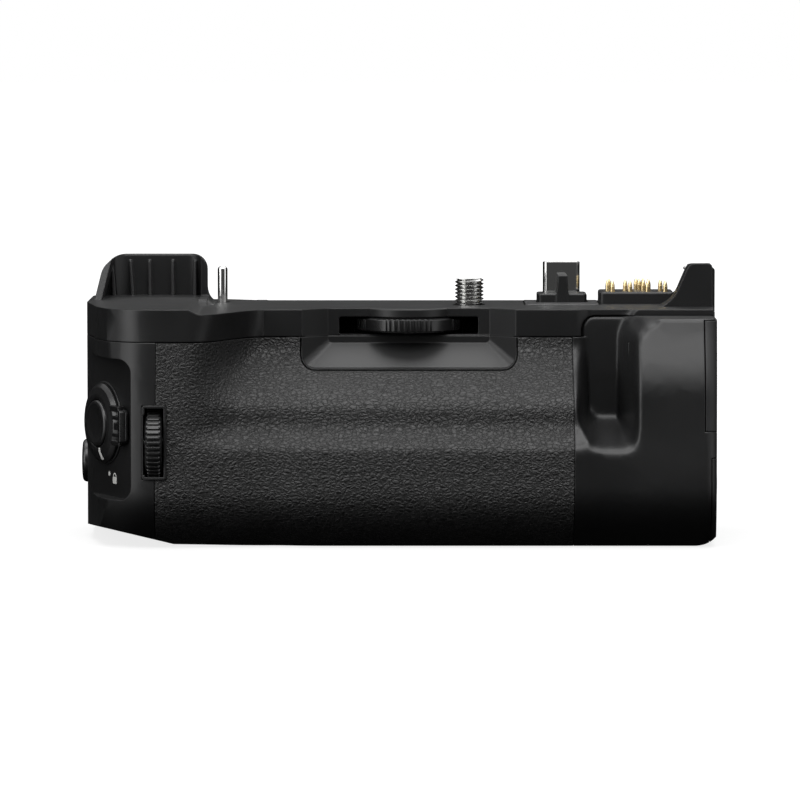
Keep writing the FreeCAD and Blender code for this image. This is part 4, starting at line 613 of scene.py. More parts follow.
def lens(name):
    """A clear lens over a dark cup."""
    material, tree, shade = new_material(name, coat=1.0)
    texture = use(tree, EFFECTS["grain"], Size_mm=0.4)
    tree.links.new(
        tinted(tree, texture["Tone"], (0.07, 0.085, 0.075), (0.16, 0.18, 0.165)), shade.inputs["Base Color"]
    )
    tree.links.new(scaled(tree, texture["Tone"], 0.0, 1.0, 0.08, 0.16), shade.inputs["Roughness"])
    return material


def white_print(name):
    """White marking paint, a little uneven."""
    material, tree, shade = new_material(name, 0.3)
    texture = use(tree, EFFECTS["grain"], Size_mm=0.15)
    tree.links.new(tinted(tree, texture["Tone"], (0.62, 0.62, 0.6), (0.78, 0.78, 0.76)), shade.inputs["Base Color"])
    tree.links.new(scaled(tree, texture["Tone"], 0.0, 1.0, 0.5, 0.62), shade.inputs["Roughness"])
    edges = use(tree, EFFECTS["edges"], Radius_mm=0.03)
    bumped(tree, shade, texture["Height"], 0.4, 0.01, edges["Normal"])
    return material


EFFECTS = {"edges": rounded_edges(), "grain": moulded_grain(), "pebbles": leather_pebbles(), "marks": tool_marks()}
MATERIALS = {
    "housing_black": moulded(
        "housing black", (0.0066, 0.0067, 0.007), (0.0088, 0.0089, 0.0092), (0.014, 0.014, 0.0145),
        (0.37, 0.43), 0.24, 0.012, 0.35, specular=0.42),
    "leather_black": leather("leather black"),
    "rubber_black": moulded(
        "rubber black", (0.011, 0.011, 0.0115), (0.014, 0.014, 0.0145), (0.022, 0.022, 0.023),
        (0.46, 0.54), 0.2, 0.008, 0.4, specular=0.4),
    "control_black": moulded(
        "control black", (0.0085, 0.0085, 0.0088), (0.0115, 0.0115, 0.0118), (0.03, 0.03, 0.031),
        (0.24, 0.31), 0.18, 0.005, 0.12),
    "socket_black": moulded(
        "socket black", (0.008, 0.008, 0.008), (0.011, 0.011, 0.011), (0.02, 0.02, 0.02),
        (0.3, 0.38), 0.3, 0.004, 0.15),
    "pack_grey": moulded(
        "pack grey", (0.05, 0.05, 0.054), (0.065, 0.065, 0.069), (0.12, 0.12, 0.125),
        (0.45, 0.55), 0.3, 0.02, 0.3),
    "steel": metal("steel", (0.62, 0.62, 0.61), (0.55, 0.55, 0.54), (0.14, 0.2), 0.002),
    "chrome": metal("chrome", (0.74, 0.74, 0.73), (0.7, 0.7, 0.69), (0.05, 0.09), 0.0008),
    "gold": metal("gold", (0.86, 0.7, 0.4), (0.78, 0.6, 0.31), (0.3, 0.36), 0.001),
    "board_green": board("board green"),
    # Near-black, dull sheets: painted shade in the wheel's slot.
    "flock_black": moulded(
        "painted shade black", (0.0012, 0.0012, 0.0012), (0.002, 0.002, 0.002), (0.003, 0.003, 0.003),
        (0.9, 0.95), 0.2, 0.02, 0.1, specular=0.08),
    # Its edge tone is darker than its body, so its edges are painted darker.
    "bezel_satin": moulded(
        "bezel satin", (0.06, 0.06, 0.061), (0.072, 0.072, 0.073), (0.05, 0.05, 0.05),
        (0.26, 0.32), 0.2, 0.004, 0.15),
    "lamp_clear": lens("lamp clear"),
    "white_print": white_print("white print"),
}


# Camera, lamps and floor

WORLD_FILL = 0.045
FLOOR_MIRRORED = 0.06
# Bright strips that only reflections see in the floor, as (turn to the right and half width in degrees, glow)
MIRRORED_STRIPS = [(-58.0, 15.0, 1.9), (62.0, 10.0, 1.3)]
STRIP_FADE = 7.0


def make_camera():
    data = bpy.data.cameras.new("camera")
    data.lens = CAMERA_LENS
    data.sensor_width = SENSOR
    data.clip_end = 20.0
    camera = bpy.data.objects.new("camera", data)
    bpy.context.scene.collection.objects.link(camera)
    away = Vector((0, -math.cos(CAMERA_ABOVE), math.sin(CAMERA_ABOVE)))
    camera.location = LOOK_AT + away * CAMERA_DISTANCE
    camera.rotation_euler = (-away).to_track_quat("-Z", "Y").to_euler()
    bpy.context.scene.camera = camera


def soft_lamp(name, place, wide, high, glow):
    """A rectangular studio lamp that faces the middle of the object, with its own brightness."""
    data = bpy.data.lights.new(name, "AREA")
    data.shape = "RECTANGLE"
    data.size = wide
    data.size_y = high
    data.energy = glow * math.pi * wide * high
    lamp = bpy.data.objects.new(name, data)
    bpy.context.scene.collection.objects.link(lamp)
    lamp.location = place
    lamp.rotation_euler = (LOOK_AT - Vector(place)).to_track_quat("-Z", "Y").to_euler()


def seen_by(tree):
    return add(tree, "ShaderNodeLightPath").outputs


def studio_card(name, place, wide, high, glow):
    """A plain card that only reflections see, as the dark walls of a studio."""
    clear_selection()
    bpy.ops.mesh.primitive_plane_add(size=1.0, location=place)
    card = bpy.context.object
    card.name = name
    card.scale = (wide, high, 1)
    card.rotation_euler = (LOOK_AT - Vector(place)).to_track_quat("Z", "Y").to_euler()
    material = bpy.data.materials.new(name)
    material.use_nodes = True
    tree = material.node_tree
    shine = add(tree, "ShaderNodeEmission", {"Color": (glow, glow, glow, 1)})
    tree.links.new(shine.outputs["Emission"], tree.nodes["Material Output"].inputs["Surface"])
    card.data.materials.append(material)
    card.visible_camera = False
    card.visible_diffuse = False
    card.visible_transmission = False
    card.visible_shadow = False


def make_world():
    """White where the camera, glass and metal look past the object, and a weak fill light elsewhere."""
    world = bpy.data.worlds.new("studio")
    world.use_nodes = True
    bpy.context.scene.world = world
    tree = world.node_tree
    tree.nodes.clear()
    seen = seen_by(tree)
    white = counted(tree, "MAXIMUM", seen["Is Camera Ray"], seen["Is Transmission Ray"])
    white = counted(tree, "MAXIMUM", white, seen["Is Glossy Ray"])
    strength = scaled(tree, white, 0.0, 1.0, WORLD_FILL, 1.0)
    background = add(tree, "ShaderNodeBackground", {"Color": (1, 1, 1, 1), "Strength": strength})
    out = add(tree, "ShaderNodeOutputWorld")
    tree.links.new(background.outputs["Background"], out.inputs["Surface"])


def make_floor():
    """A pale floor that keeps the object's shadow and throws little light back."""
    clear_selection()
    bpy.ops.mesh.primitive_plane_add(size=12.0, location=(0, 0, FOOT - 0.1 * MM))
    floor = bpy.context.object
    floor.name = "floor"
    material = bpy.data.materials.new("pale floor")
    material.use_nodes = True
    tree = material.node_tree
    tree.nodes.remove(tree.nodes["Principled BSDF"])
    seen = seen_by(tree)
    away = add(tree, "ShaderNodeVectorMath", {0: object_place(tree)}, operation="LENGTH").outputs["Value"]
    white = scaled(tree, away, 0.1, 0.5, 0.8, 1.0, True)
    pale = add(tree, "ShaderNodeEmission", {"Strength": white}).outputs["Emission"]
    lit = add(tree, "ShaderNodeBsdfDiffuse", {"Color": (0.26, 0.26, 0.26, 1)}).outputs["BSDF"]
    looked_at = add(tree, "ShaderNodeAddShader", {0: pale, 1: lit}).outputs["Shader"]
    # What reflections see of the floor is painted darker up to 0.9 m from the object's middle: a painted shadow in
    # reflections.
    front = scaled(tree, away, 0.3, 0.9, 0.01, FLOOR_MIRRORED, True)
    axes = add(tree, "ShaderNodeSeparateXYZ", {0: object_place(tree)}).outputs
    turn = counted(tree, "ARCTAN2", axes["X"], counted(tree, "MULTIPLY", axes["Y"], -1.0))
    strips = scaled(tree, away, 0.08, 0.22, 0.0, 1.0, True)
    for middle, half, glow in MIRRORED_STRIPS:
        aside = counted(tree, "ABSOLUTE", counted(tree, "SUBTRACT", turn, math.radians(middle)))
        strip = scaled(tree, aside, math.radians(half), math.radians(half + STRIP_FADE), glow, 0.0, True)
        front = counted(tree, "ADD", front, counted(tree, "MULTIPLY", strip, strips))
    behind = scaled(tree, counted(tree, "ABSOLUTE", turn), 1.5, 1.8, 1.0, 0.03, True)
    mirrored = counted(tree, "MULTIPLY", front, behind)
    mirrored = add(tree, "ShaderNodeEmission", {"Strength": mirrored}).outputs["Emission"]
    dull = add(tree, "ShaderNodeBsdfDiffuse", {"Color": (0.05, 0.05, 0.05, 1)}).outputs["BSDF"]
    other = add(tree, "ShaderNodeMixShader", {0: seen["Is Glossy Ray"], 1: dull, 2: mirrored}).outputs["Shader"]
    whole = add(tree, "ShaderNodeMixShader", {0: seen["Is Camera Ray"], 1: other, 2: looked_at}).outputs["Shader"]
    tree.links.new(whole, tree.nodes["Material Output"].inputs["Surface"])
    floor.data.materials.append(material)


clear_selection()
make_camera()
make_world()
make_floor()
# Name, place, width, height and glow
for lamp in (
    ("front lamp", (0.0, -0.98, 1.25), 1.7, 0.9, 4.2),
    ("rear lamp", (0.5, 1.1, 1.15), 1.2, 0.6, 1.3),
    ("top lamp", (0.0, 0.1, 1.6), 1.8, 0.9, 3.0),
    ("left lamp", (-1.3, -0.75, 0.45), 0.8, 1.1, 3.0),
    ("right lamp", (1.45, -0.42, 0.45), 0.6, 1.0, 0.7),
):
    soft_lamp(*lamp)
for card in (
    ("front card", (0.0, -2.4, 0.25), 3.2, 1.3, 0.12),
    ("back card", (0.0, 1.9, 0.2), 6.0, 2.2, 0.02),
    ("left card", (-2.2, 0.5, 0.2), 2.6, 2.2, 0.02),
    ("right card", (2.2, 0.5, 0.2), 2.6, 2.2, 0.02),
):
    studio_card(*card)
bpy.context.scene.view_settings.view_transform = "Standard"


# Sizes in mm, most of them as in the part's source

SCREW_OUTER = 3.175
SCREW_ROOT = 2.62
SCREW_PITCH = 0.82
SCREW_RISE = 6.0
SCREW_NECK = 2.4
BEARING_DROP = 17.8
WHEEL_AT = (-13.4, -7.8, 0.0)
WHEEL_RADIUS = 11.4
WHEEL_TOP = -2.06
WHEEL_FOOT = -5.26
WHEEL_AXLE = 1.6
WHEEL_RIBS = 56
PAD_PLACE = math.radians(41.5)
PAD_HALF = math.radians(15.0)
WHEEL_RIB = 0.35
DIAL_RADIUS = 8.0
DIAL_HALF = 1.8
DIAL_RIBS = 44
DIAL_RIB = 0.45
FRONT_DIAL = (-68.1, -34.7, -27.9)
REAR_DIAL = (-68.1, 15.4, -15.0)
SEAM = 6.0
GROOVE_HIGH = 0.16
GROOVE_DEEP = 0.45
FIN_FRONT = -3.0
TOWER_LEFT = -83.08
TOWER_RIGHT = -58.4
TOWER_REAR = 19.5
TOWER_TOP = 10.3
TOWER_WALL = 1.4
TOWER_LEAN = 0.235
TOWER_SHOULDER = 4.6
TOWER_CORNER = 3.35
TOWER_FLARE = 2.1
TOWER_FLARE_HIGH = 3.2
TOWER_PLAN_ROUND = 9
TOWER_OPEN_TO = 14.2
FIN_PLATE_FRONT = -9.5
FIN_PLATE_REAR = -2.9
# Ribs of the tower, as (place, front, how far the top leans to the right)
TOWER_RIBS = [(-79.2, 14.6, -0.5), (-75.1, 16.0, -0.6), (-71.3, 16.1, -0.1), (-66.2, 16.1, 0.0), (-61.3, 15.6, 0.1)]
# Plate round the plug: left, right, front, rear
BEZEL = (12.4, 28.6, -3.4, 15.3)
PIN_AT = (-54.8, 9.6, 0.0)
PLUG_AT = (20.7, 13.2, 0.0)
PLUG_WIDE = 8.25
PLUG_THICK = 2.4
PLUG_TOP = 8.8
PLUG_BASE_TOP = 2.05
BLOCK_LOW = (28.9, 2.0, -6.0)
BLOCK_HIGH = (45.4, 14.6, 2.6)
FIRST_ROW = 2.0
CONTACT_ROWS = [
    (0.0, [2.9, 6.8, 10.7, 14.6]),
    (4.3, [2.0, 5.9, 9.9, 13.7]),
    (7.4, [2.4, 9.1, 11.2]),
    (9.6, [8.5, 10.1]),
]
CONTACT_RADIUS = 0.52
CONTACT_TOP = 5.1
LEATHER_LEFT = -67.42
LEATHER_RIGHT = 22.08
FACET_ANGLE = math.radians(63.0)
FACET_OUT = Vector((-math.sin(FACET_ANGLE), -math.cos(FACET_ANGLE), 0))
UP = Vector((0, 0, 1))
FACET_SIDE = UP.cross(FACET_OUT)
SHUTTER_AT = (-79.0, -25.7, -24.2)
SHUTTER_RADIUS = 5.05
COLLAR_INNER = 5.2
COLLAR_OUTER = 8.6
COLLAR_TOP = 2.2
RIGHT = Vector((1, 0, 0))
BACK = Vector((0, 1, 0))
REAR_FACE = 16.5
BUTTON_TAIL = 3.0
BUTTON_FOOT = 0.12
MENU_ACROSS = -34.0
LOCK_ACROSS = -25.0
SMALL_BUTTONS_HIGH = -14.0
STATUS_LAMPS_HIGH = -8.8
STICK_RIBS = 24
STICK_ACROSS = -44.5
STICK_DROP = -27.5
THUMB_REAR = 21.0
LEFT_END = -83.9
LATCH_AT = (52.85, -5.25, -39.0)
HOUSING_FOOT = -50.6
BUSH_DEPTH = 3.6
BUSH_RADIUS = 5.4
BUSH_ROOT = 2.72
BUSH_PITCH = 1.27
TONGUE_HALF = 3.3
STRIP_COUNT = 12
STRIP_PITCH = 0.5
STRIP_WIDE = 0.26
NETWORK_MIDDLE = -19.4
WIRE_COUNT = 8
WIRE_PITCH = 1.02


def in_rib(point, ribs):
    """Whether a point round the upright axis lies in the middle half of a rib's share of the turn."""
    angle = math.atan2(point.y, point.x)
    return math.floor((angle % TURN) / TURN * ribs * 4 + 1e-6) % 4 in (1, 2)


def on_facet(piece):
    """Moves a piece made round the upright axis on to the shutter's axis."""
    set_in_place(piece, FACET_SIDE, UP, FACET_OUT, SHUTTER_AT)


def on_rear(piece, place):
    """Moves it so that it points out of the back at a place in mm."""
    set_in_place(piece, -RIGHT, UP, BACK, place)


def on_right_end(piece, place):
    """Moves it so that it points to the right at a place in mm."""
    set_in_place(piece, BACK, UP, RIGHT, place)


# The covers and the leather


def seam_groove(piece):
    """Draws the lowest strip of the top cover in a little, which leaves a groove over the front cover."""
    strip = twin(piece, "seam_strip", (0, 0, 0))
    for part, way in ((strip, "INTERSECT"), (piece, "DIFFERENCE")):
        carve(part, brick("below", (-100, -60, -SEAM - 1), (70, 40, -SEAM + GROOVE_HIGH)), way)
    for way, wanted in (
        ((0, GROOVE_DEEP, 0), lambda p, n: p.y < -13.8 and not (-38 < p.x < 11 and p.y > -19.6)),
        ((0, -GROOVE_DEEP, 0), lambda p, n: p.y > 15.5),
        ((GROOVE_DEEP, 0, 0), lambda p, n: p.x < -80.5),
    ):
        move_points(strip, wanted, way)
    joined(piece, strip)


def shape_top_cover(piece):
    """Clears the tower's place and the fin's front, and cuts the grooves round the plug's plate and at the seam."""
    carve(piece, brick("tower_room", (-85, -6, 1.13), (-56.0, 21, 12)))
    carve(piece, brick("fin_front", (38, -24, 0.03), (56, FIN_FRONT, 12)))
    left, right, front, rear = BEZEL
    groove = plan_slab("bezel_groove", rounded_plan(left - 0.28, right + 0.28, front - 0.28, rear + 0.1, 1.8), -0.6, 2)
    carve(piece, groove)
    seam_groove(piece)


def rounded_plan(left, right, front, rear, radius):
    """A rectangle whose two front corners are rounded."""
    return (
        [(left, rear), *arc(left + radius, front + radius, radius, 180, 270, 5)]
        + [*arc(right - radius, front + radius, radius, 270, 360, 5), (right, rear)]
    )


def tower():
    """The curved wall at the left end, open to the top and the front, with five upright ribs."""
    lean = math.degrees(math.atan(TOWER_LEAN))
    rear = TOWER_REAR
    left = TOWER_LEFT - 0.3
    right = TOWER_RIGHT + TOWER_FLARE
    inner_right = TOWER_RIGHT - TOWER_WALL
    large = TOWER_PLAN_ROUND
    flare = [
        (right - TOWER_FLARE * math.cos(angle), TOWER_FLARE_HIGH - TOWER_FLARE_HIGH * math.sin(angle))
        for angle in (TURN / 4 * index / 6 for index in range(7))
    ]
    wall = slab("tower_wall", [
        (TOWER_LEFT, -0.5),
        *arc(-76.9, TOWER_TOP - TOWER_SHOULDER, TOWER_SHOULDER, 180 - lean, 90),
        *arc(TOWER_RIGHT - TOWER_CORNER, TOWER_TOP - TOWER_CORNER, TOWER_CORNER, 90, 0),
        *flare,
        (right, -0.5),
    ], -6, 21)
    carve(wall, plan_slab("outer_plan", [
        (left, -2.5), *arc(left + large, rear - large, large, 180, 90), *arc(right - 5, rear - 5, 5, 90, 0),
        (right, -2.5),
    ], -2, 14), "INTERSECT")
    inner_left = TOWER_LEFT + TOWER_WALL * 1.03
    cavity = slab("cavity", [
        (inner_left, -1.0), (inner_left + TOWER_LEAN * 14, 13.0), (inner_right, 13.0), (inner_right, -1.0),
    ], -8, 21)
    inner_rear = rear - TOWER_WALL
    carve(cavity, plan_slab("inner_plan", [
        (left + TOWER_WALL, -9), *arc(left + large, rear - large, large - TOWER_WALL, 180, 90),
        *arc(inner_right - 3, inner_rear - 3, 3, 90, 0), (inner_right, -9),
    ], -3, 15), "INTERSECT")
    carve(wall, cavity)
    cut_off(wall, (0, -2, 1), (0, -11, 4))
    carve(wall, brick("right_front", (TOWER_RIGHT - 4.5, -8, 1.2), (TOWER_RIGHT + 4, TOWER_OPEN_TO, 12)))
    round_edges(
        wall, lambda middle, way: middle.z > TOWER_TOP - 0.1 and abs(way.x) > 0.9 and middle.y < rear - 0.6, 0.55, 2
    )
    ribs = []
    for place, front, lean_in in TOWER_RIBS:
        rib = brick("rib", (place - 0.45, front, 0.6), (place + 0.45, front + 3.4, 9.3))
        open_edit(rib)
        pick(rib, "VERT", lambda point, normal: point.z > 9)
        bpy.ops.transform.resize(value=(0.6, 1, 1), center_override=(place * MM, 0, 0))
        bpy.ops.transform.translate(value=(lean_in * MM, 0, 0))
        pick(rib, "VERT", lambda point, normal: point.z > 9 and point.y < front + 1)
        bpy.ops.transform.translate(value=(0, 1.3 * MM, -0.5 * MM))
        close_edit()
        soften(rib, 0.12)
        ribs.append(rib)
    joined(wall, *ribs)
    finish(wall, "housing_black", "housing", "top_cover")


def fin_plate():
    """The fin's front plate, curved at its foot, with a top that falls to the rear."""
    plate = slab("fin_plate", [
        (41.2, -0.5), (41.41, 0.0), (42.28, 0.2), (43.15, 0.75), (44.02, 1.52), (44.9, 2.5), (45.66, 3.92),
        (46.31, 5.46), (46.97, 6.99), (47.51, 8.19), (48.06, 9.07), (48.5, 9.42), (48.95, 9.6),
        *arc(52.1, 8.52, 1.1, 90, 0), (53.2, -0.5),
    ], FIN_PLATE_FRONT, FIN_PLATE_REAR)
    cut_off(plate, (0, FIN_PLATE_FRONT + 0.5, 9.6), (0, 0.085, 1))
    round_edges(plate, lambda middle, way: middle.y < FIN_PLATE_FRONT + 0.1 and middle.z > 0.1, 0.3, 2)
    finish(plate, "housing_black", "housing", "top_cover")


def wheel_brow():
    """The rounded brow over the wheel, under the seat's front edge."""
    brow = lathe("wheel_brow", [(0, -1.9), (10.7, -1.9), (10.8, -1.8), (10.8, -0.2), (10.65, -0.03), (0, -0.03)], 96)
    move_to(brow, WHEEL_AT)
    cut_off(brow, (0, -14.2, 0), (0, 1, 0))
    finish(brow, "housing_black", "housing", "top_cover")


def slot_shade_sheets():
    """Black sheets at the back of the wheel's slot, on both sides of the wheel: painted shade where the slot's back
    wall lies in shadow.
    """
    for name, left, right in (("left", -28.55, -25.3), ("right", -1.5, 1.75)):
        shade_sheet = brick(f"slot_shade_sheet_{name}", (left, -9.2, -5.7), (right, -8.55, -1.9))
        soften(shade_sheet, 0.1)
        finish(shade_sheet, "flock_black", "housing")


def recess_outline(grow):
    """The wheel recess as a prism seen from the front, grown all round."""
    left, right, foot, radius = -36.6 - grow, 9.9 + grow, -12.6 - grow, 2.8 + grow
    return slab("recess_outline", [
        (left, 5), *arc(left + radius, foot + radius, radius, 180, 270),
        *arc(right - radius, foot + radius, radius, 270, 360), (right, 5),
    ], -60, -10)


def leather_corners(grow):
    """The region between the recess and the leather's cut corners, seen from the front."""
    left, right, foot, top = -39.35, 12.65, -13.6, -SEAM - 0.12
    region = slab("leather_corners", [(left, top), (left, foot), (right, foot), (right, top)], -45, -17)
    carve(region, recess_outline(grow))
    return region


def front_and_leather():
    """The front cover and its leather, which reaches up to the recess, with a dark groove round the leather."""
    cover = merged_copy("front_cover")
    skin = merged_copy("front_leather")
    corners = twin(cover, "leather_corner_pieces", (0, 0, 0))
    carve(corners, leather_corners(0.42), "INTERSECT")
    carve(cover, leather_corners(0.12))
    carve(cover, end_corner())
    carve(skin, corners, "UNION")
    left_tool = brick("left_border", (-72, -60, -60), (LEATHER_LEFT, 0, 0))
    move_points(left_tool, lambda point, normal: point.z < -50, (-0.62, 0, 0))
    carve(skin, left_tool)
    carve(skin, brick("right_border", (LEATHER_RIGHT, -60, -60), (26, 0, 0)))
    carve(skin, brick("top_border", (-80, -60, -SEAM - 0.1), (30, 0, 0)))
    finish(skin, "leather_black", "housing", "front_leather")
    finish(cover, "housing_black", "housing", "front_cover")


def end_corner():
    """What is taken off the upper outer corner of the right end, all along."""
    right, top, radius = 54.55, -1.2, 3.2
    return slab("corner", [
        *arc(right - radius, top - radius, radius, 90, 0), (right + 3, top - radius), (right + 3, top + 0.3),
        (right - radius, top + 0.3),
    ], -60, 1.5)


def shape_terminal_cover(piece):
    """Rounds the upper outer corner of the terminal cover, and widens its seam a little."""
    carve(piece, end_corner())
    carve(piece, brick("front_seam", (49, -60, -60), (50.3, 5, 5)))


def shape_dial_frame(piece):
    """Rounds the outer corners of the frame round the front dial."""
    merge_flat_faces(piece)
    round_edges(
        piece, lambda middle, way: abs(way.y) > 0.95 and not (-70.4 < middle.x < -65.5)
        and not (-35.2 < middle.z < -19.6), 0.7, 4,
    )


# The wheel, gears and screw


def tightening_wheel():
    """The wheel that the finger turns, with ribs round its rim and four smooth raised pads."""
    rim = WHEEL_RADIUS - WHEEL_RIB
    edge = 0.3
    wheel = lathe("tightening_wheel_ribbed", [
        (WHEEL_AXLE, WHEEL_FOOT), (rim - 0.45, WHEEL_FOOT), (rim, WHEEL_FOOT + edge), (rim, WHEEL_TOP - edge),
        (rim - 0.45, WHEEL_TOP), (WHEEL_AXLE, WHEEL_TOP), (WHEEL_AXLE, WHEEL_FOOT),
    ], steps=WHEEL_RIBS * 4)
    middle = (0, 0, (WHEEL_TOP + WHEEL_FOOT) / 2)

    def on_rim(point, normal):
        return math.hypot(point.x, point.y) > rim - 0.1 and abs(normal.z) < 0.3

    def on_pad(point):
        from_front = abs(math.atan2(point.x, -point.y))
        aside = min(abs(from_front - PAD_PLACE), abs(math.pi - from_front - PAD_PLACE))
        return aside < PAD_HALF

    narrow = (1.0, 1.0, 0.92)
    raise_faces(wheel, lambda p, n: on_rim(p, n) and on_pad(p), WHEEL_RIB * 0.62, narrow, middle)
    raise_faces(wheel, lambda p, n: on_rim(p, n) and not on_pad(p) and in_rib(p, WHEEL_RIBS), WHEEL_RIB, narrow, middle)
    soften(wheel, 0.07, 2, 30.0)
    move_to(wheel, WHEEL_AT)
    finish(wheel, "control_black", "wheel", "tightening_wheel")


def attachment_screw():
    """The quarter inch screw, with its neck down to the bearings and a dimple in its head."""
    thread = thread_rod("attachment_screw_threaded", SCREW_OUTER, SCREW_ROOT, SCREW_PITCH, 0.1, SCREW_RISE)
    head = lathe("head", [
        (0, -1), (SCREW_OUTER + 1, -1), (SCREW_OUTER + 1, SCREW_RISE - 1.0), (SCREW_ROOT - 0.3, SCREW_RISE - 0.02),
        (1.7, SCREW_RISE - 0.02), (1.4, SCREW_RISE - 0.4), (0, SCREW_RISE - 0.4),
    ])
    carve(thread, head, "INTERSECT")
    neck = lathe("neck", [
        (0, -BEARING_DROP), (SCREW_NECK - 0.3, -BEARING_DROP), (SCREW_NECK, -BEARING_DROP + 0.3), (SCREW_NECK, 0.3),
        (0, 0.3),
    ])
    soften(neck, 0.08)
    joined(thread, neck)
    finish(thread, "steel", "screw", "attachment_screw", angle=28.0)


def tripod_bush():
    """The threaded bush under the housing, with two notches for a spanner."""
    bush = lathe("tripod_bush_threaded", [
        (2.4, 0), (BUSH_RADIUS - 0.25, 0), (BUSH_RADIUS, 0.25), (BUSH_RADIUS, BUSH_DEPTH), (2.4, BUSH_DEPTH), (2.4, 0),
    ])
    carve(bush, lathe("entry", [
        (0, -1), (SCREW_OUTER + 0.5, -1), (SCREW_OUTER + 0.5, 0.05), (SCREW_OUTER - 0.5, 1.0), (0, 1.0),
    ]))
    carve(bush, thread_rod("bore", SCREW_OUTER - 0.02, BUSH_ROOT, BUSH_PITCH, -1.0, BUSH_DEPTH + 1.0))
    for side in (-1, 1):
        carve(bush, brick("notch", (side * 4.5 - 1.5, -0.5, -1), (side * 4.5 + 1.5, 0.5, 0.7)))
    move_to(bush, (0, 0, HOUSING_FOOT))
    finish(bush, "steel", "housing", "tripod_bush", angle=28.0)


def housing_screws():
    """Four screws with crossed slots that hold the base plate."""
    places = [(x, y) for x in (-51.5, 41.5) for y in (-21.5, 8.0)]
    screw = lathe("housing_screw_1", [(0, 1.4), (2.2, 1.4), (2.2, 0.35), (1.85, 0.08), (1.2, 0), (0, 0)], steps=40)
    for wide, long in ((0.28, 1.35), (1.35, 0.28)):
        carve(screw, brick("slot", (-wide, -long, -1), (wide, long, 0.75)))
    soften(screw, 0.05)
    move_to(screw, (*places[0], HOUSING_FOOT))
    for piece in one_at_each(screw, "housing_screw", places):
        finish(piece, "steel", "housing", "housing_screws")


# The seat


def guide_pin():
    """The plated pin on its flange, with a rounded end."""
    pin = lathe("guide_pin_plated", [
        (0, -4.4), (1.7, -4.4), (1.7, -0.02), (1.35, -0.02), (1.35, -0.3), (1.1, -0.3), (1.1, 7.3), (1.02, 7.6),
        (0.82, 7.84), (0.55, 7.97), (0, 8.0),
    ], steps=48)
    move_to(pin, PIN_AT)
    finish(pin, "chrome", "housing", "guide_pin", angle=30.0)


def gold_strips(name, long, low, depth):
    """A row of contact strips across, standing up from a low height, half sunk at a depth to the back."""
    x = -(STRIP_COUNT - 1) / 2 * STRIP_PITCH
    first = brick(name, (x - STRIP_WIDE / 2, depth - 0.03, low), (x + STRIP_WIDE / 2, depth + 0.03, low + long))
    round_upright(first, 0.012, 1)
    return joined(first, *(
        twin(first, f"{name}_{index}", (index * STRIP_PITCH, 0, 0)) for index in range(1, STRIP_COUNT)
    ))


def strip_rows(front_name, rear_name, long, low, depth):
    """The strips on the front and on the rear of a tongue."""
    return joined(gold_strips(front_name, long, low, -depth), gold_strips(rear_name, long, low, depth))


def contact_tongue(name, thick, low, high):
    """The moulded tongue in a plug or socket, with its free edges rounded."""
    tongue = brick(name, (-TONGUE_HALF, -thick / 2, low), (TONGUE_HALF, thick / 2, high))
    round_edges(tongue, lambda middle, way: middle.z > high - 0.1 or abs(way.z) > 0.9, 0.12)
    return tongue


def camera_plug():
    """The plug's folded shell, with its tongue and contact strips."""
    shell = oval_tube("plug_shell_plated", PLUG_WIDE, PLUG_THICK, -3.0, PLUG_TOP, 0.3, 3.2)
    move_to(shell, PLUG_AT)
    finish(shell, "chrome", "housing", "plug_shell")
    tongue = contact_tongue("plug_tongue", 0.68, 0.1, PLUG_TOP - 0.9)
    move_to(tongue, PLUG_AT)
    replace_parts(finish(tongue, "socket_black", "housing"), "plug_shell")
    strips = strip_rows("plug_strips_front", "plug_strips_rear", 5.0, 2.4, 0.34)
    strips.name = "plug_strips"
    move_to(strips, PLUG_AT)
    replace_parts(finish(strips, "gold", "housing"), "plug_shell")


def plug_base():
    """The moulded base of the plug, with the post that braces it in front."""
    base = brick("plug_base_moulded", (15.2, 5.7, -8.0), (26.2, 15.2, PLUG_BASE_TOP))
    round_upright(base, 1.1, 4)
    round_top(base, PLUG_BASE_TOP - 0.1, 0.35)
    middle = PLUG_AT[0] + 0.1
    well = oval_tube("well", PLUG_WIDE + 0.3, PLUG_THICK + 0.3, -2.8, 4.0, 0.3, 6.0)
    move_to(well, PLUG_AT)
    carve(base, well)
    post = brick("post", (middle - 1.05, 5.35, 0.05), (middle + 1.05, 11.95, 6.15))
    open_whole(post)
    bpy.ops.mesh.bisect(plane_co=(0, 0, 2.6 * MM), plane_no=(0, 0, 1))
    for low, high, grow in ((-1, 1, 1.5), (2, 3, 1.22)):
        pick(post, "VERT", lambda point, normal: low < point.z < high)
        bpy.ops.transform.resize(value=(grow, 1, 1), center_override=(middle * MM, 0, 0))
    close_edit()
    round_edges(post, lambda middle, way: middle.z > 6.1 or (abs(way.z) > 0.7 and middle.y < 6), 0.2, 3)
    finish(joined(base, post), "housing_black", "housing", "plug_base")


def plug_bezel():
    """The plate round the plug, set into the seat."""
    left, right, front, rear = BEZEL
    plate = plan_slab("plug_bezel_plate", rounded_plan(left, right, front, rear, 1.5), -0.55, 0.16)
    round_top(plate, 0.1, 0.1, 2)
    carve(plate, brick("hole", (15.0, 5.5, -3), (26.4, 15.2, 3)))
    finish(plate, "bezel_satin", "housing", "plug_bezel")


def contact_places():
    """Where the spring contacts stand, as (across, back)."""
    return [
        (BLOCK_LOW[0] + place, BLOCK_LOW[1] + FIRST_ROW + row)
        for row, places in CONTACT_ROWS for place in places
    ]


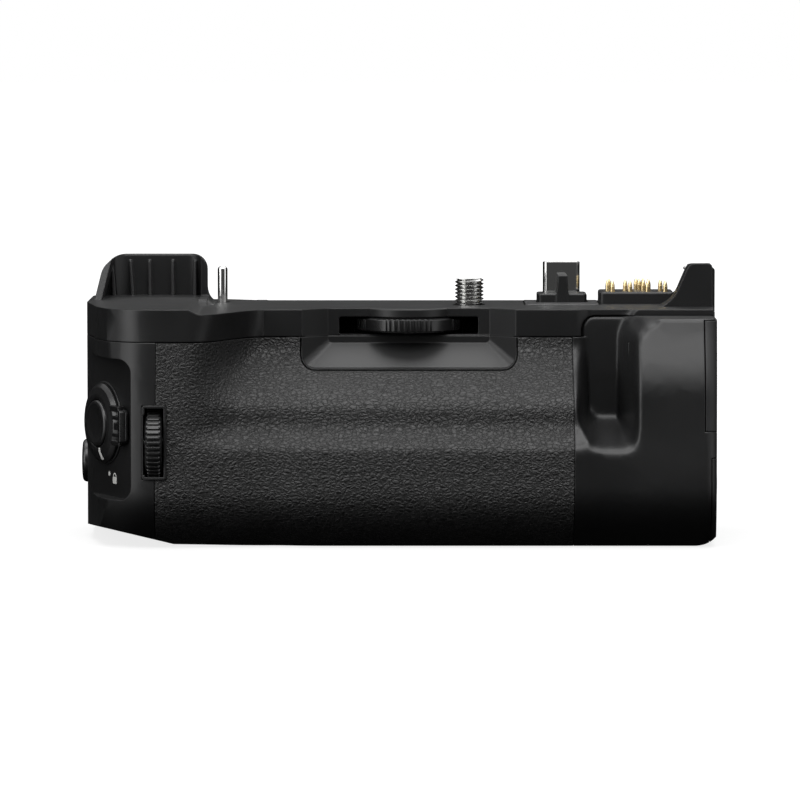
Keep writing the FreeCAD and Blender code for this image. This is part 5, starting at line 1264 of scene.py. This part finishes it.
def contact_block():
    """The block that guides the spring contacts, each in its own bore."""
    body = brick("contact_block_moulded", BLOCK_LOW, BLOCK_HIGH)
    round_upright(body, 1.0, 4)
    round_top(body, BLOCK_HIGH[2] - 0.1, 0.45)
    bore = lathe("bore", [
        (0, -7), (CONTACT_RADIUS + 0.05, -7), (CONTACT_RADIUS + 0.05, BLOCK_HIGH[2] - 0.12),
        (CONTACT_RADIUS + 0.22, BLOCK_HIGH[2] + 0.05), (CONTACT_RADIUS + 0.22, 4), (0, 4),
    ], steps=24)
    places = contact_places()
    bores = [twin(bore, "bore_copy", (x, y, 0)) for x, y in places]
    bpy.data.objects.remove(bore)
    carve(body, joined(*bores))
    finish(body, "housing_black", "housing", "contact_block")


def contact_pins():
    """Thirteen spring contacts: a barrel with a pointed, rounded end."""
    pin = lathe("contact_pin_1", [
        (0, -3.0), (CONTACT_RADIUS - 0.1, -3.0), (CONTACT_RADIUS, -2.8), (CONTACT_RADIUS, 3.75),
        (CONTACT_RADIUS - 0.04, 3.8), (CONTACT_RADIUS - 0.04, 3.95), (0.42, 4.3), (0.3, 4.68), (0.2, 4.92), (0.1, 5.06),
        (0, CONTACT_TOP),
    ], steps=28)
    places = contact_places()
    move_to(pin, (*places[0], 0))
    for piece in one_at_each(pin, "contact_pin", places):
        finish(piece, "gold", "contacts", "contact_pins", angle=40.0)


def seat_strips():
    """Two small rubber strips at the back of the seat, right of the guide pin."""
    for name, left in (("left", -50.7), ("right", -47.3)):
        strip = brick(f"seat_strip_{name}", (left, 14.2, -0.4), (left + 2.4, 15.4, 0.16))
        round_upright(strip, 0.35)
        round_top(strip, 0.1, 0.06, 2)
        finish(strip, "rubber_black", "housing")


def tether_eyelet():
    """A thin wire loop at the fin, with a small seat where it enters the moulding."""
    clear_selection()
    bpy.ops.mesh.primitive_torus_add(
        major_radius=1.8 * MM, minor_radius=0.32 * MM, major_segments=48, minor_segments=14,
        location=Vector((49.55, 11.0, 6.4)) * MM, rotation=(0, math.radians(38), 0),
    )
    loop = bpy.context.object
    loop.name = "tether_eyelet_wire"
    settle(loop)
    seat = lathe("seat", [(0, 0), (0.75, 0), (0.75, 0.5), (0.6, 0.7), (0, 0.7)], steps=24)
    set_in_place(seat, UP, BACK, -RIGHT, (50.2, 11.0, 5.2))
    finish(joined(loop, seat), "steel", "housing", "tether_eyelet")


# Dials and controls


def command_dial(node, place):
    """A dial with bars round its rim and a dished hub on both sides."""
    rim = DIAL_RADIUS - DIAL_RIB
    half = DIAL_HALF
    dial = lathe(f"{node}_ribbed", [
        (1.05, -half - 0.25), (2.6, -half - 0.25), (2.6, -half + 0.5), (5.4, -half + 0.5), (6.0, -half),
        (rim - 0.4, -half), (rim, -half + 0.3), (rim, half - 0.3), (rim - 0.4, half), (6.0, half), (5.4, half - 0.5),
        (2.6, half - 0.5), (2.6, half + 0.25), (1.05, half + 0.25), (1.05, -half - 0.25),
    ], steps=DIAL_RIBS * 4)

    def on_rib(point, normal):
        outside = math.hypot(point.x, point.y) > rim - 0.1 and abs(normal.z) < 0.2
        return outside and in_rib(point, DIAL_RIBS)

    raise_faces(dial, on_rib, DIAL_RIB, (1.0, 1.0, 0.8))
    soften(dial, 0.06, 2, 30.0)
    on_right_end(dial, place)
    finish(dial, "control_black", node, node)


def shutter_button():
    """The shutter button on its stem, with a raised rim round a shallow dish."""
    button = lathe("shutter_button_turned", [
        (0, -4.6), (1.5, -4.6), (1.5, -0.65), (SHUTTER_RADIUS, -0.65), (SHUTTER_RADIUS, 2.05), (4.96, 2.35),
        (4.72, 2.6), (4.4, 2.7), (4.05, 2.68), (3.7, 2.56), (2.5, 2.46), (1.2, 2.42), (0, 2.41),
    ], steps=96)
    on_facet(button)
    finish(button, "control_black", "shutter", "shutter_button", angle=50.0)


def shutter_ring():
    """The flat ring in the facet under the lock lever."""
    ring = lathe("shutter_ring_turned", [
        (COLLAR_INNER, 0), (9.0, 0), (9.0, 0.28), (8.86, 0.4), (COLLAR_INNER, 0.4), (COLLAR_INNER, 0),
    ], steps=96)
    on_facet(ring)
    finish(ring, "housing_black", "housing", "shutter_ring")


def lock_lever():
    """The collar round the shutter button, and its finger tab with bars and an end wall."""
    collar = lathe("lock_lever_collar", [
        (COLLAR_INNER, 0.5), (COLLAR_OUTER - 0.1, 0.5), (COLLAR_OUTER, 0.6), (COLLAR_OUTER, 0.95), (8.5, 1.1),
        (7.75, 1.75), (6.3, COLLAR_TOP), (COLLAR_INNER + 0.15, COLLAR_TOP), (COLLAR_INNER, COLLAR_TOP - 0.15),
        (COLLAR_INNER, 0.5),
    ], steps=120)
    soften(collar, 0.09, 2, 14.0)
    plate = brick("tab", (6.0, -4.3, 0.5), (12.6, 4.3, 0.95))
    open_edit(plate)
    pick(plate, "VERT", lambda point, normal: point.x > 12)
    bpy.ops.transform.resize(value=(1, 0.8, 1), center_override=(0, 0, 0))
    close_edit()
    round_edges(plate, lambda middle, way: abs(way.z) > 0.9 and middle.x > 12, 0.9, 4)
    round_top(plate, 0.9, 0.12, 2)
    bars = [plate]
    for place, half, start, high in (
        (-3.75, 0.5, 7.0, 2.0), (-1.95, 0.42, 8.0, 2.15), (-0.1, 0.8, 8.3, 1.95), (1.75, 0.42, 8.0, 2.15),
        (3.7, 0.6, 6.6, 2.2),
    ):
        bar = brick("bar", (start, place - half, 0.7), (11.35, place + half, high))
        round_top(bar, high - 0.05, 0.2)
        bars.append(bar)
    wall = brick("wall", (11.3, -3.5, 0.7), (12.45, 3.5, 2.3))
    round_edges(wall, lambda middle, way: abs(way.z) > 0.9 and middle.x > 12, 0.5, 3)
    round_top(wall, 2.2, 0.22)
    lever = joined(collar, wall, *bars)
    on_facet(lever)
    finish(lever, "control_black", "lock_lever", "lock_lever")


def index_mark():
    """The white stroke over the collar's top and cone."""
    half = math.radians(3.6)
    stroke = lathe("index_mark", [(5.45, 2.22), (6.28, 2.23), (7.75, 1.79), (8.05, 1.56)], steps=6, angle=2 * half)
    open_whole(stroke)
    bpy.ops.transform.rotate(value=math.radians(72), orient_axis="Z", center_override=(0, 0, 0))
    close_edit()
    apply_modifier(stroke, "SOLIDIFY", thickness=0.05 * MM, offset=0)
    on_facet(stroke)
    finish(stroke, "white_print", "lock_lever")


def facet_marks():
    """The white dot that the stroke points to, and a small padlock beside it."""
    dot = lathe("lock_dot", [(0, -0.05), (0.52, -0.05), (0.52, 0.03), (0.46, 0.05), (0, 0.05)], steps=32)
    move_to(dot, (1.8, -10.9, 0))
    on_facet(dot)
    finish(dot, "white_print", "housing")
    body = brick("padlock", (3.6, -12.9, -0.05), (5.6, -11.4, 0.04))
    round_upright(body, 0.22)
    clear_selection()
    bpy.ops.mesh.primitive_torus_add(
        major_radius=0.62 * MM, minor_radius=0.15 * MM, major_segments=32, minor_segments=8,
        location=Vector((4.6, -11.3, 0)) * MM,
    )
    shackle = bpy.context.object
    settle(shackle)
    open_whole(shackle)
    bpy.ops.mesh.bisect(
        plane_co=Vector((0, -11.45, 0)) * MM, plane_no=(0, 1, 0), use_fill=True, clear_inner=True
    )
    bpy.ops.mesh.select_all(action="SELECT")
    bpy.ops.transform.resize(value=(1, 1, 0.3), center_override=(0, 0, 0))
    close_edit()
    padlock = joined(body, shackle)
    on_facet(padlock)
    finish(padlock, "white_print", "housing")


def round_button(node, radius, proud, place, ringed=False):
    """A button with a rounded rim and a slightly hollow top, on the back of the housing."""
    top = BUTTON_TAIL + proud
    corners = [(0, BUTTON_FOOT), (radius, BUTTON_FOOT), (radius, top - 0.5)]
    corners += [(radius - 0.1, top - 0.2), (radius - 0.3, top - 0.04)]
    if ringed:
        corners += [(radius - 0.8, top), (radius - 0.95, top - 0.16), (radius - 1.1, top)]
    corners += [(radius - 1.3, top - 0.04), (radius * 0.4, top - 0.16), (0, top - 0.2)]
    button = lathe(f"{node}_turned", corners, steps=72)
    on_rear(button, place)
    finish(button, "control_black", node, node, angle=40.0)


def side_button():
    """The function button on the left end, with a full rounded rim."""
    button = lathe("side_button_turned", [
        (0, 0), (4.75, 0), (4.75, 3.5), (4.66, 3.9), (4.42, 4.2), (4.05, 4.38), (3.5, 4.44), (2.4, 4.5), (0, 4.54),
    ], steps=80)
    set_in_place(button, BACK, UP.copy(), -RIGHT, (LEFT_END + BUTTON_TAIL, -3.0, -34.3))
    finish(button, "control_black", "side_button", "side_button", angle=50.0)


def focus_stick():
    """The stick's hollow cap with a ribbed rim, on its stem."""
    stick = lathe("focus_stick_cap", [
        (0, -0.9), (1.1, -0.9), (1.1, 4.7), (2.6, 5.6), (3.1, 5.8), (3.1, 7.0), (2.85, 7.25), (2.4, 7.2), (1.6, 6.95),
        (0, 6.85),
    ], steps=96)

    def on_rim(point, normal):
        return math.hypot(point.x, point.y) > 3.0 and abs(normal.z) < 0.3 and in_rib(point, STICK_RIBS)

    raise_faces(stick, on_rim, 0.14, (1, 1, 0.85), (0, 0, 6.4))
    grips = []
    for ring_radius, count in ((0.0, 1), (0.75, 6), (1.5, 12)):
        for index in range(count):
            angle = TURN * index / count
            grips.append((ring_radius * math.cos(angle), ring_radius * math.sin(angle), 0.0))
    bump = lathe("grip_point", [(0, 6.7), (0.24, 6.7), (0.24, 6.93), (0.14, 7.06), (0, 7.08)], steps=10)
    bumps = [twin(bump, "grip_point_copy", place) for place in grips]
    bpy.data.objects.remove(bump)
    joined(stick, *bumps)
    on_rear(stick, (STICK_ACROSS, REAR_FACE - 4.0, STICK_DROP))
    finish(stick, "rubber_black", "focus_stick", "focus_stick")


def stick_ring():
    """The dished ring round the stick."""
    ring = lathe("stick_ring_turned", [
        (1.6, 0), (5.0, 0), (5.0, 3.3), (4.85, 3.65), (4.5, 3.86), (4.2, 3.8), (3.9, 3.3), (2.8, 2.5), (1.6, 2.0),
        (1.6, 0),
    ], steps=80)
    on_rear(ring, (STICK_ACROSS, REAR_FACE - 3.0, STICK_DROP))
    finish(ring, "housing_black", "housing", "stick_ring", angle=45.0)


def status_lamps():
    """A domed lamp over each of the two small buttons."""
    for index, x in enumerate((MENU_ACROSS, LOCK_ACROSS)):
        lamp = lathe(f"status_lamp_{index + 1}", [
            (0, 0), (0.8, 0), (0.8, 1.62), (0.7, 1.74), (0.4, 1.84), (0, 1.87),
        ], steps=28)
        on_rear(lamp, (x, REAR_FACE - 1.6, STATUS_LAMPS_HIGH))
        finish(lamp, "lamp_clear", "housing", "status_lamps", angle=60.0)


def latch_knob():
    """The tray's turning knob, with a finger bar across a dished disc."""
    knob = lathe("latch_knob_turned", [
        (0, -4.2), (2.0, -4.2), (2.0, 0), (6.2, 0), (6.2, 1.2), (6.05, 1.4), (5.75, 1.45), (5.5, 1.2), (5.3, 0.62),
        (0, 0.55),
    ], steps=80)
    bar = brick("bar", (-1.0, -5.6, 0.3), (1.0, 5.6, 1.5))
    round_upright(bar, 0.5)
    round_top(bar, 1.4, 0.3)
    joined(knob, bar)
    on_right_end(knob, LATCH_AT)
    finish(knob, "control_black", "latch", "latch_knob")


# Sockets behind the terminal cover


def network_contacts():
    """Eight sprung wires in the network socket."""
    y = NETWORK_MIDDLE - (WIRE_COUNT - 1) / 2 * WIRE_PITCH
    first = brick("network_contact_wires", (43.0, y - 0.16, -18.3), (50.6, y + 0.16, -18.0))
    move_points(first, lambda point, normal: point.x < 44, (0, 0, 3.4))
    soften(first, 0.04, 1)
    wires = joined(first, *(
        twin(first, f"wire_{index}", (0, index * WIRE_PITCH, 0)) for index in range(1, WIRE_COUNT)
    ))
    finish(wires, "gold", "housing")


def charging_socket():
    """The small oval socket, with its tongue and contact strips."""
    place = (44.15, -6.1, -12.65)
    shell = oval_tube("charging_socket_shell", 9.0, 3.3, 0.0, 7.85, 0.33, 1.2)
    on_right_end(shell, place)
    finish(shell, "steel", "housing", "charging_socket")
    tongue = contact_tongue("charging_tongue", 0.7, 0.9, 6.6)
    on_right_end(tongue, place)
    finish(tongue, "socket_black", "housing", "charging_socket")
    strips = strip_rows("charging_strips", "charging_strips_rear", 4.0, 2.2, 0.35)
    on_right_end(strips, place)
    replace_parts(finish(strips, "gold", "housing"), "charging_socket")


# CAD nodes that keep their own form, as (node, rounding of its edges in mm)
KEPT_FORMS = [
    ("rear_cover", 0), ("rear_leather", 0.25),
    ("base_plate", 0.25), ("contact_board", 0.1), ("circuit_board", 0.1), ("network_socket", 0.12),
    ("cover_hinge_pin", 0), ("battery_contacts", 0.15), ("battery_tray", 0.15), ("battery_left", 0),
    ("battery_right", 0), ("tray_cap", 0), ("latch_cam", 0.15), ("front_dial_axle", 0),
    ("rear_dial_axle", 0), ("thrust_washer", 0), ("wheel_gear", 0), ("wheel_axle", 0), ("screw_pinion", 0),
    ("stick_pivot", 0),
]

for node, edge in KEPT_FORMS:
    finished_copy(node, edge)
finished_copy("top_cover", change=shape_top_cover)
finished_copy("terminal_cover", change=shape_terminal_cover)
finished_copy("dial_frame", change=shape_dial_frame)
front_and_leather()
tower()
fin_plate()
wheel_brow()
slot_shade_sheets()
tightening_wheel()
attachment_screw()
tripod_bush()
housing_screws()
guide_pin()
camera_plug()
plug_base()
plug_bezel()
contact_block()
contact_pins()
seat_strips()
tether_eyelet()
command_dial("front_dial", FRONT_DIAL)
command_dial("rear_dial", REAR_DIAL)
shutter_button()
shutter_ring()
lock_lever()
index_mark()
facet_marks()
round_button("focus_button", 4.6, 1.4, (-57.0, THUMB_REAR - BUTTON_TAIL, -13.5), ringed=True)
round_button("menu_button", 2.7, 0.9, (MENU_ACROSS, REAR_FACE - BUTTON_TAIL, SMALL_BUTTONS_HIGH))
round_button("lock_button", 2.7, 0.9, (LOCK_ACROSS, REAR_FACE - BUTTON_TAIL, SMALL_BUTTONS_HIGH))
side_button()
focus_stick()
stick_ring()
status_lamps()
latch_knob()
network_contacts()
charging_socket()
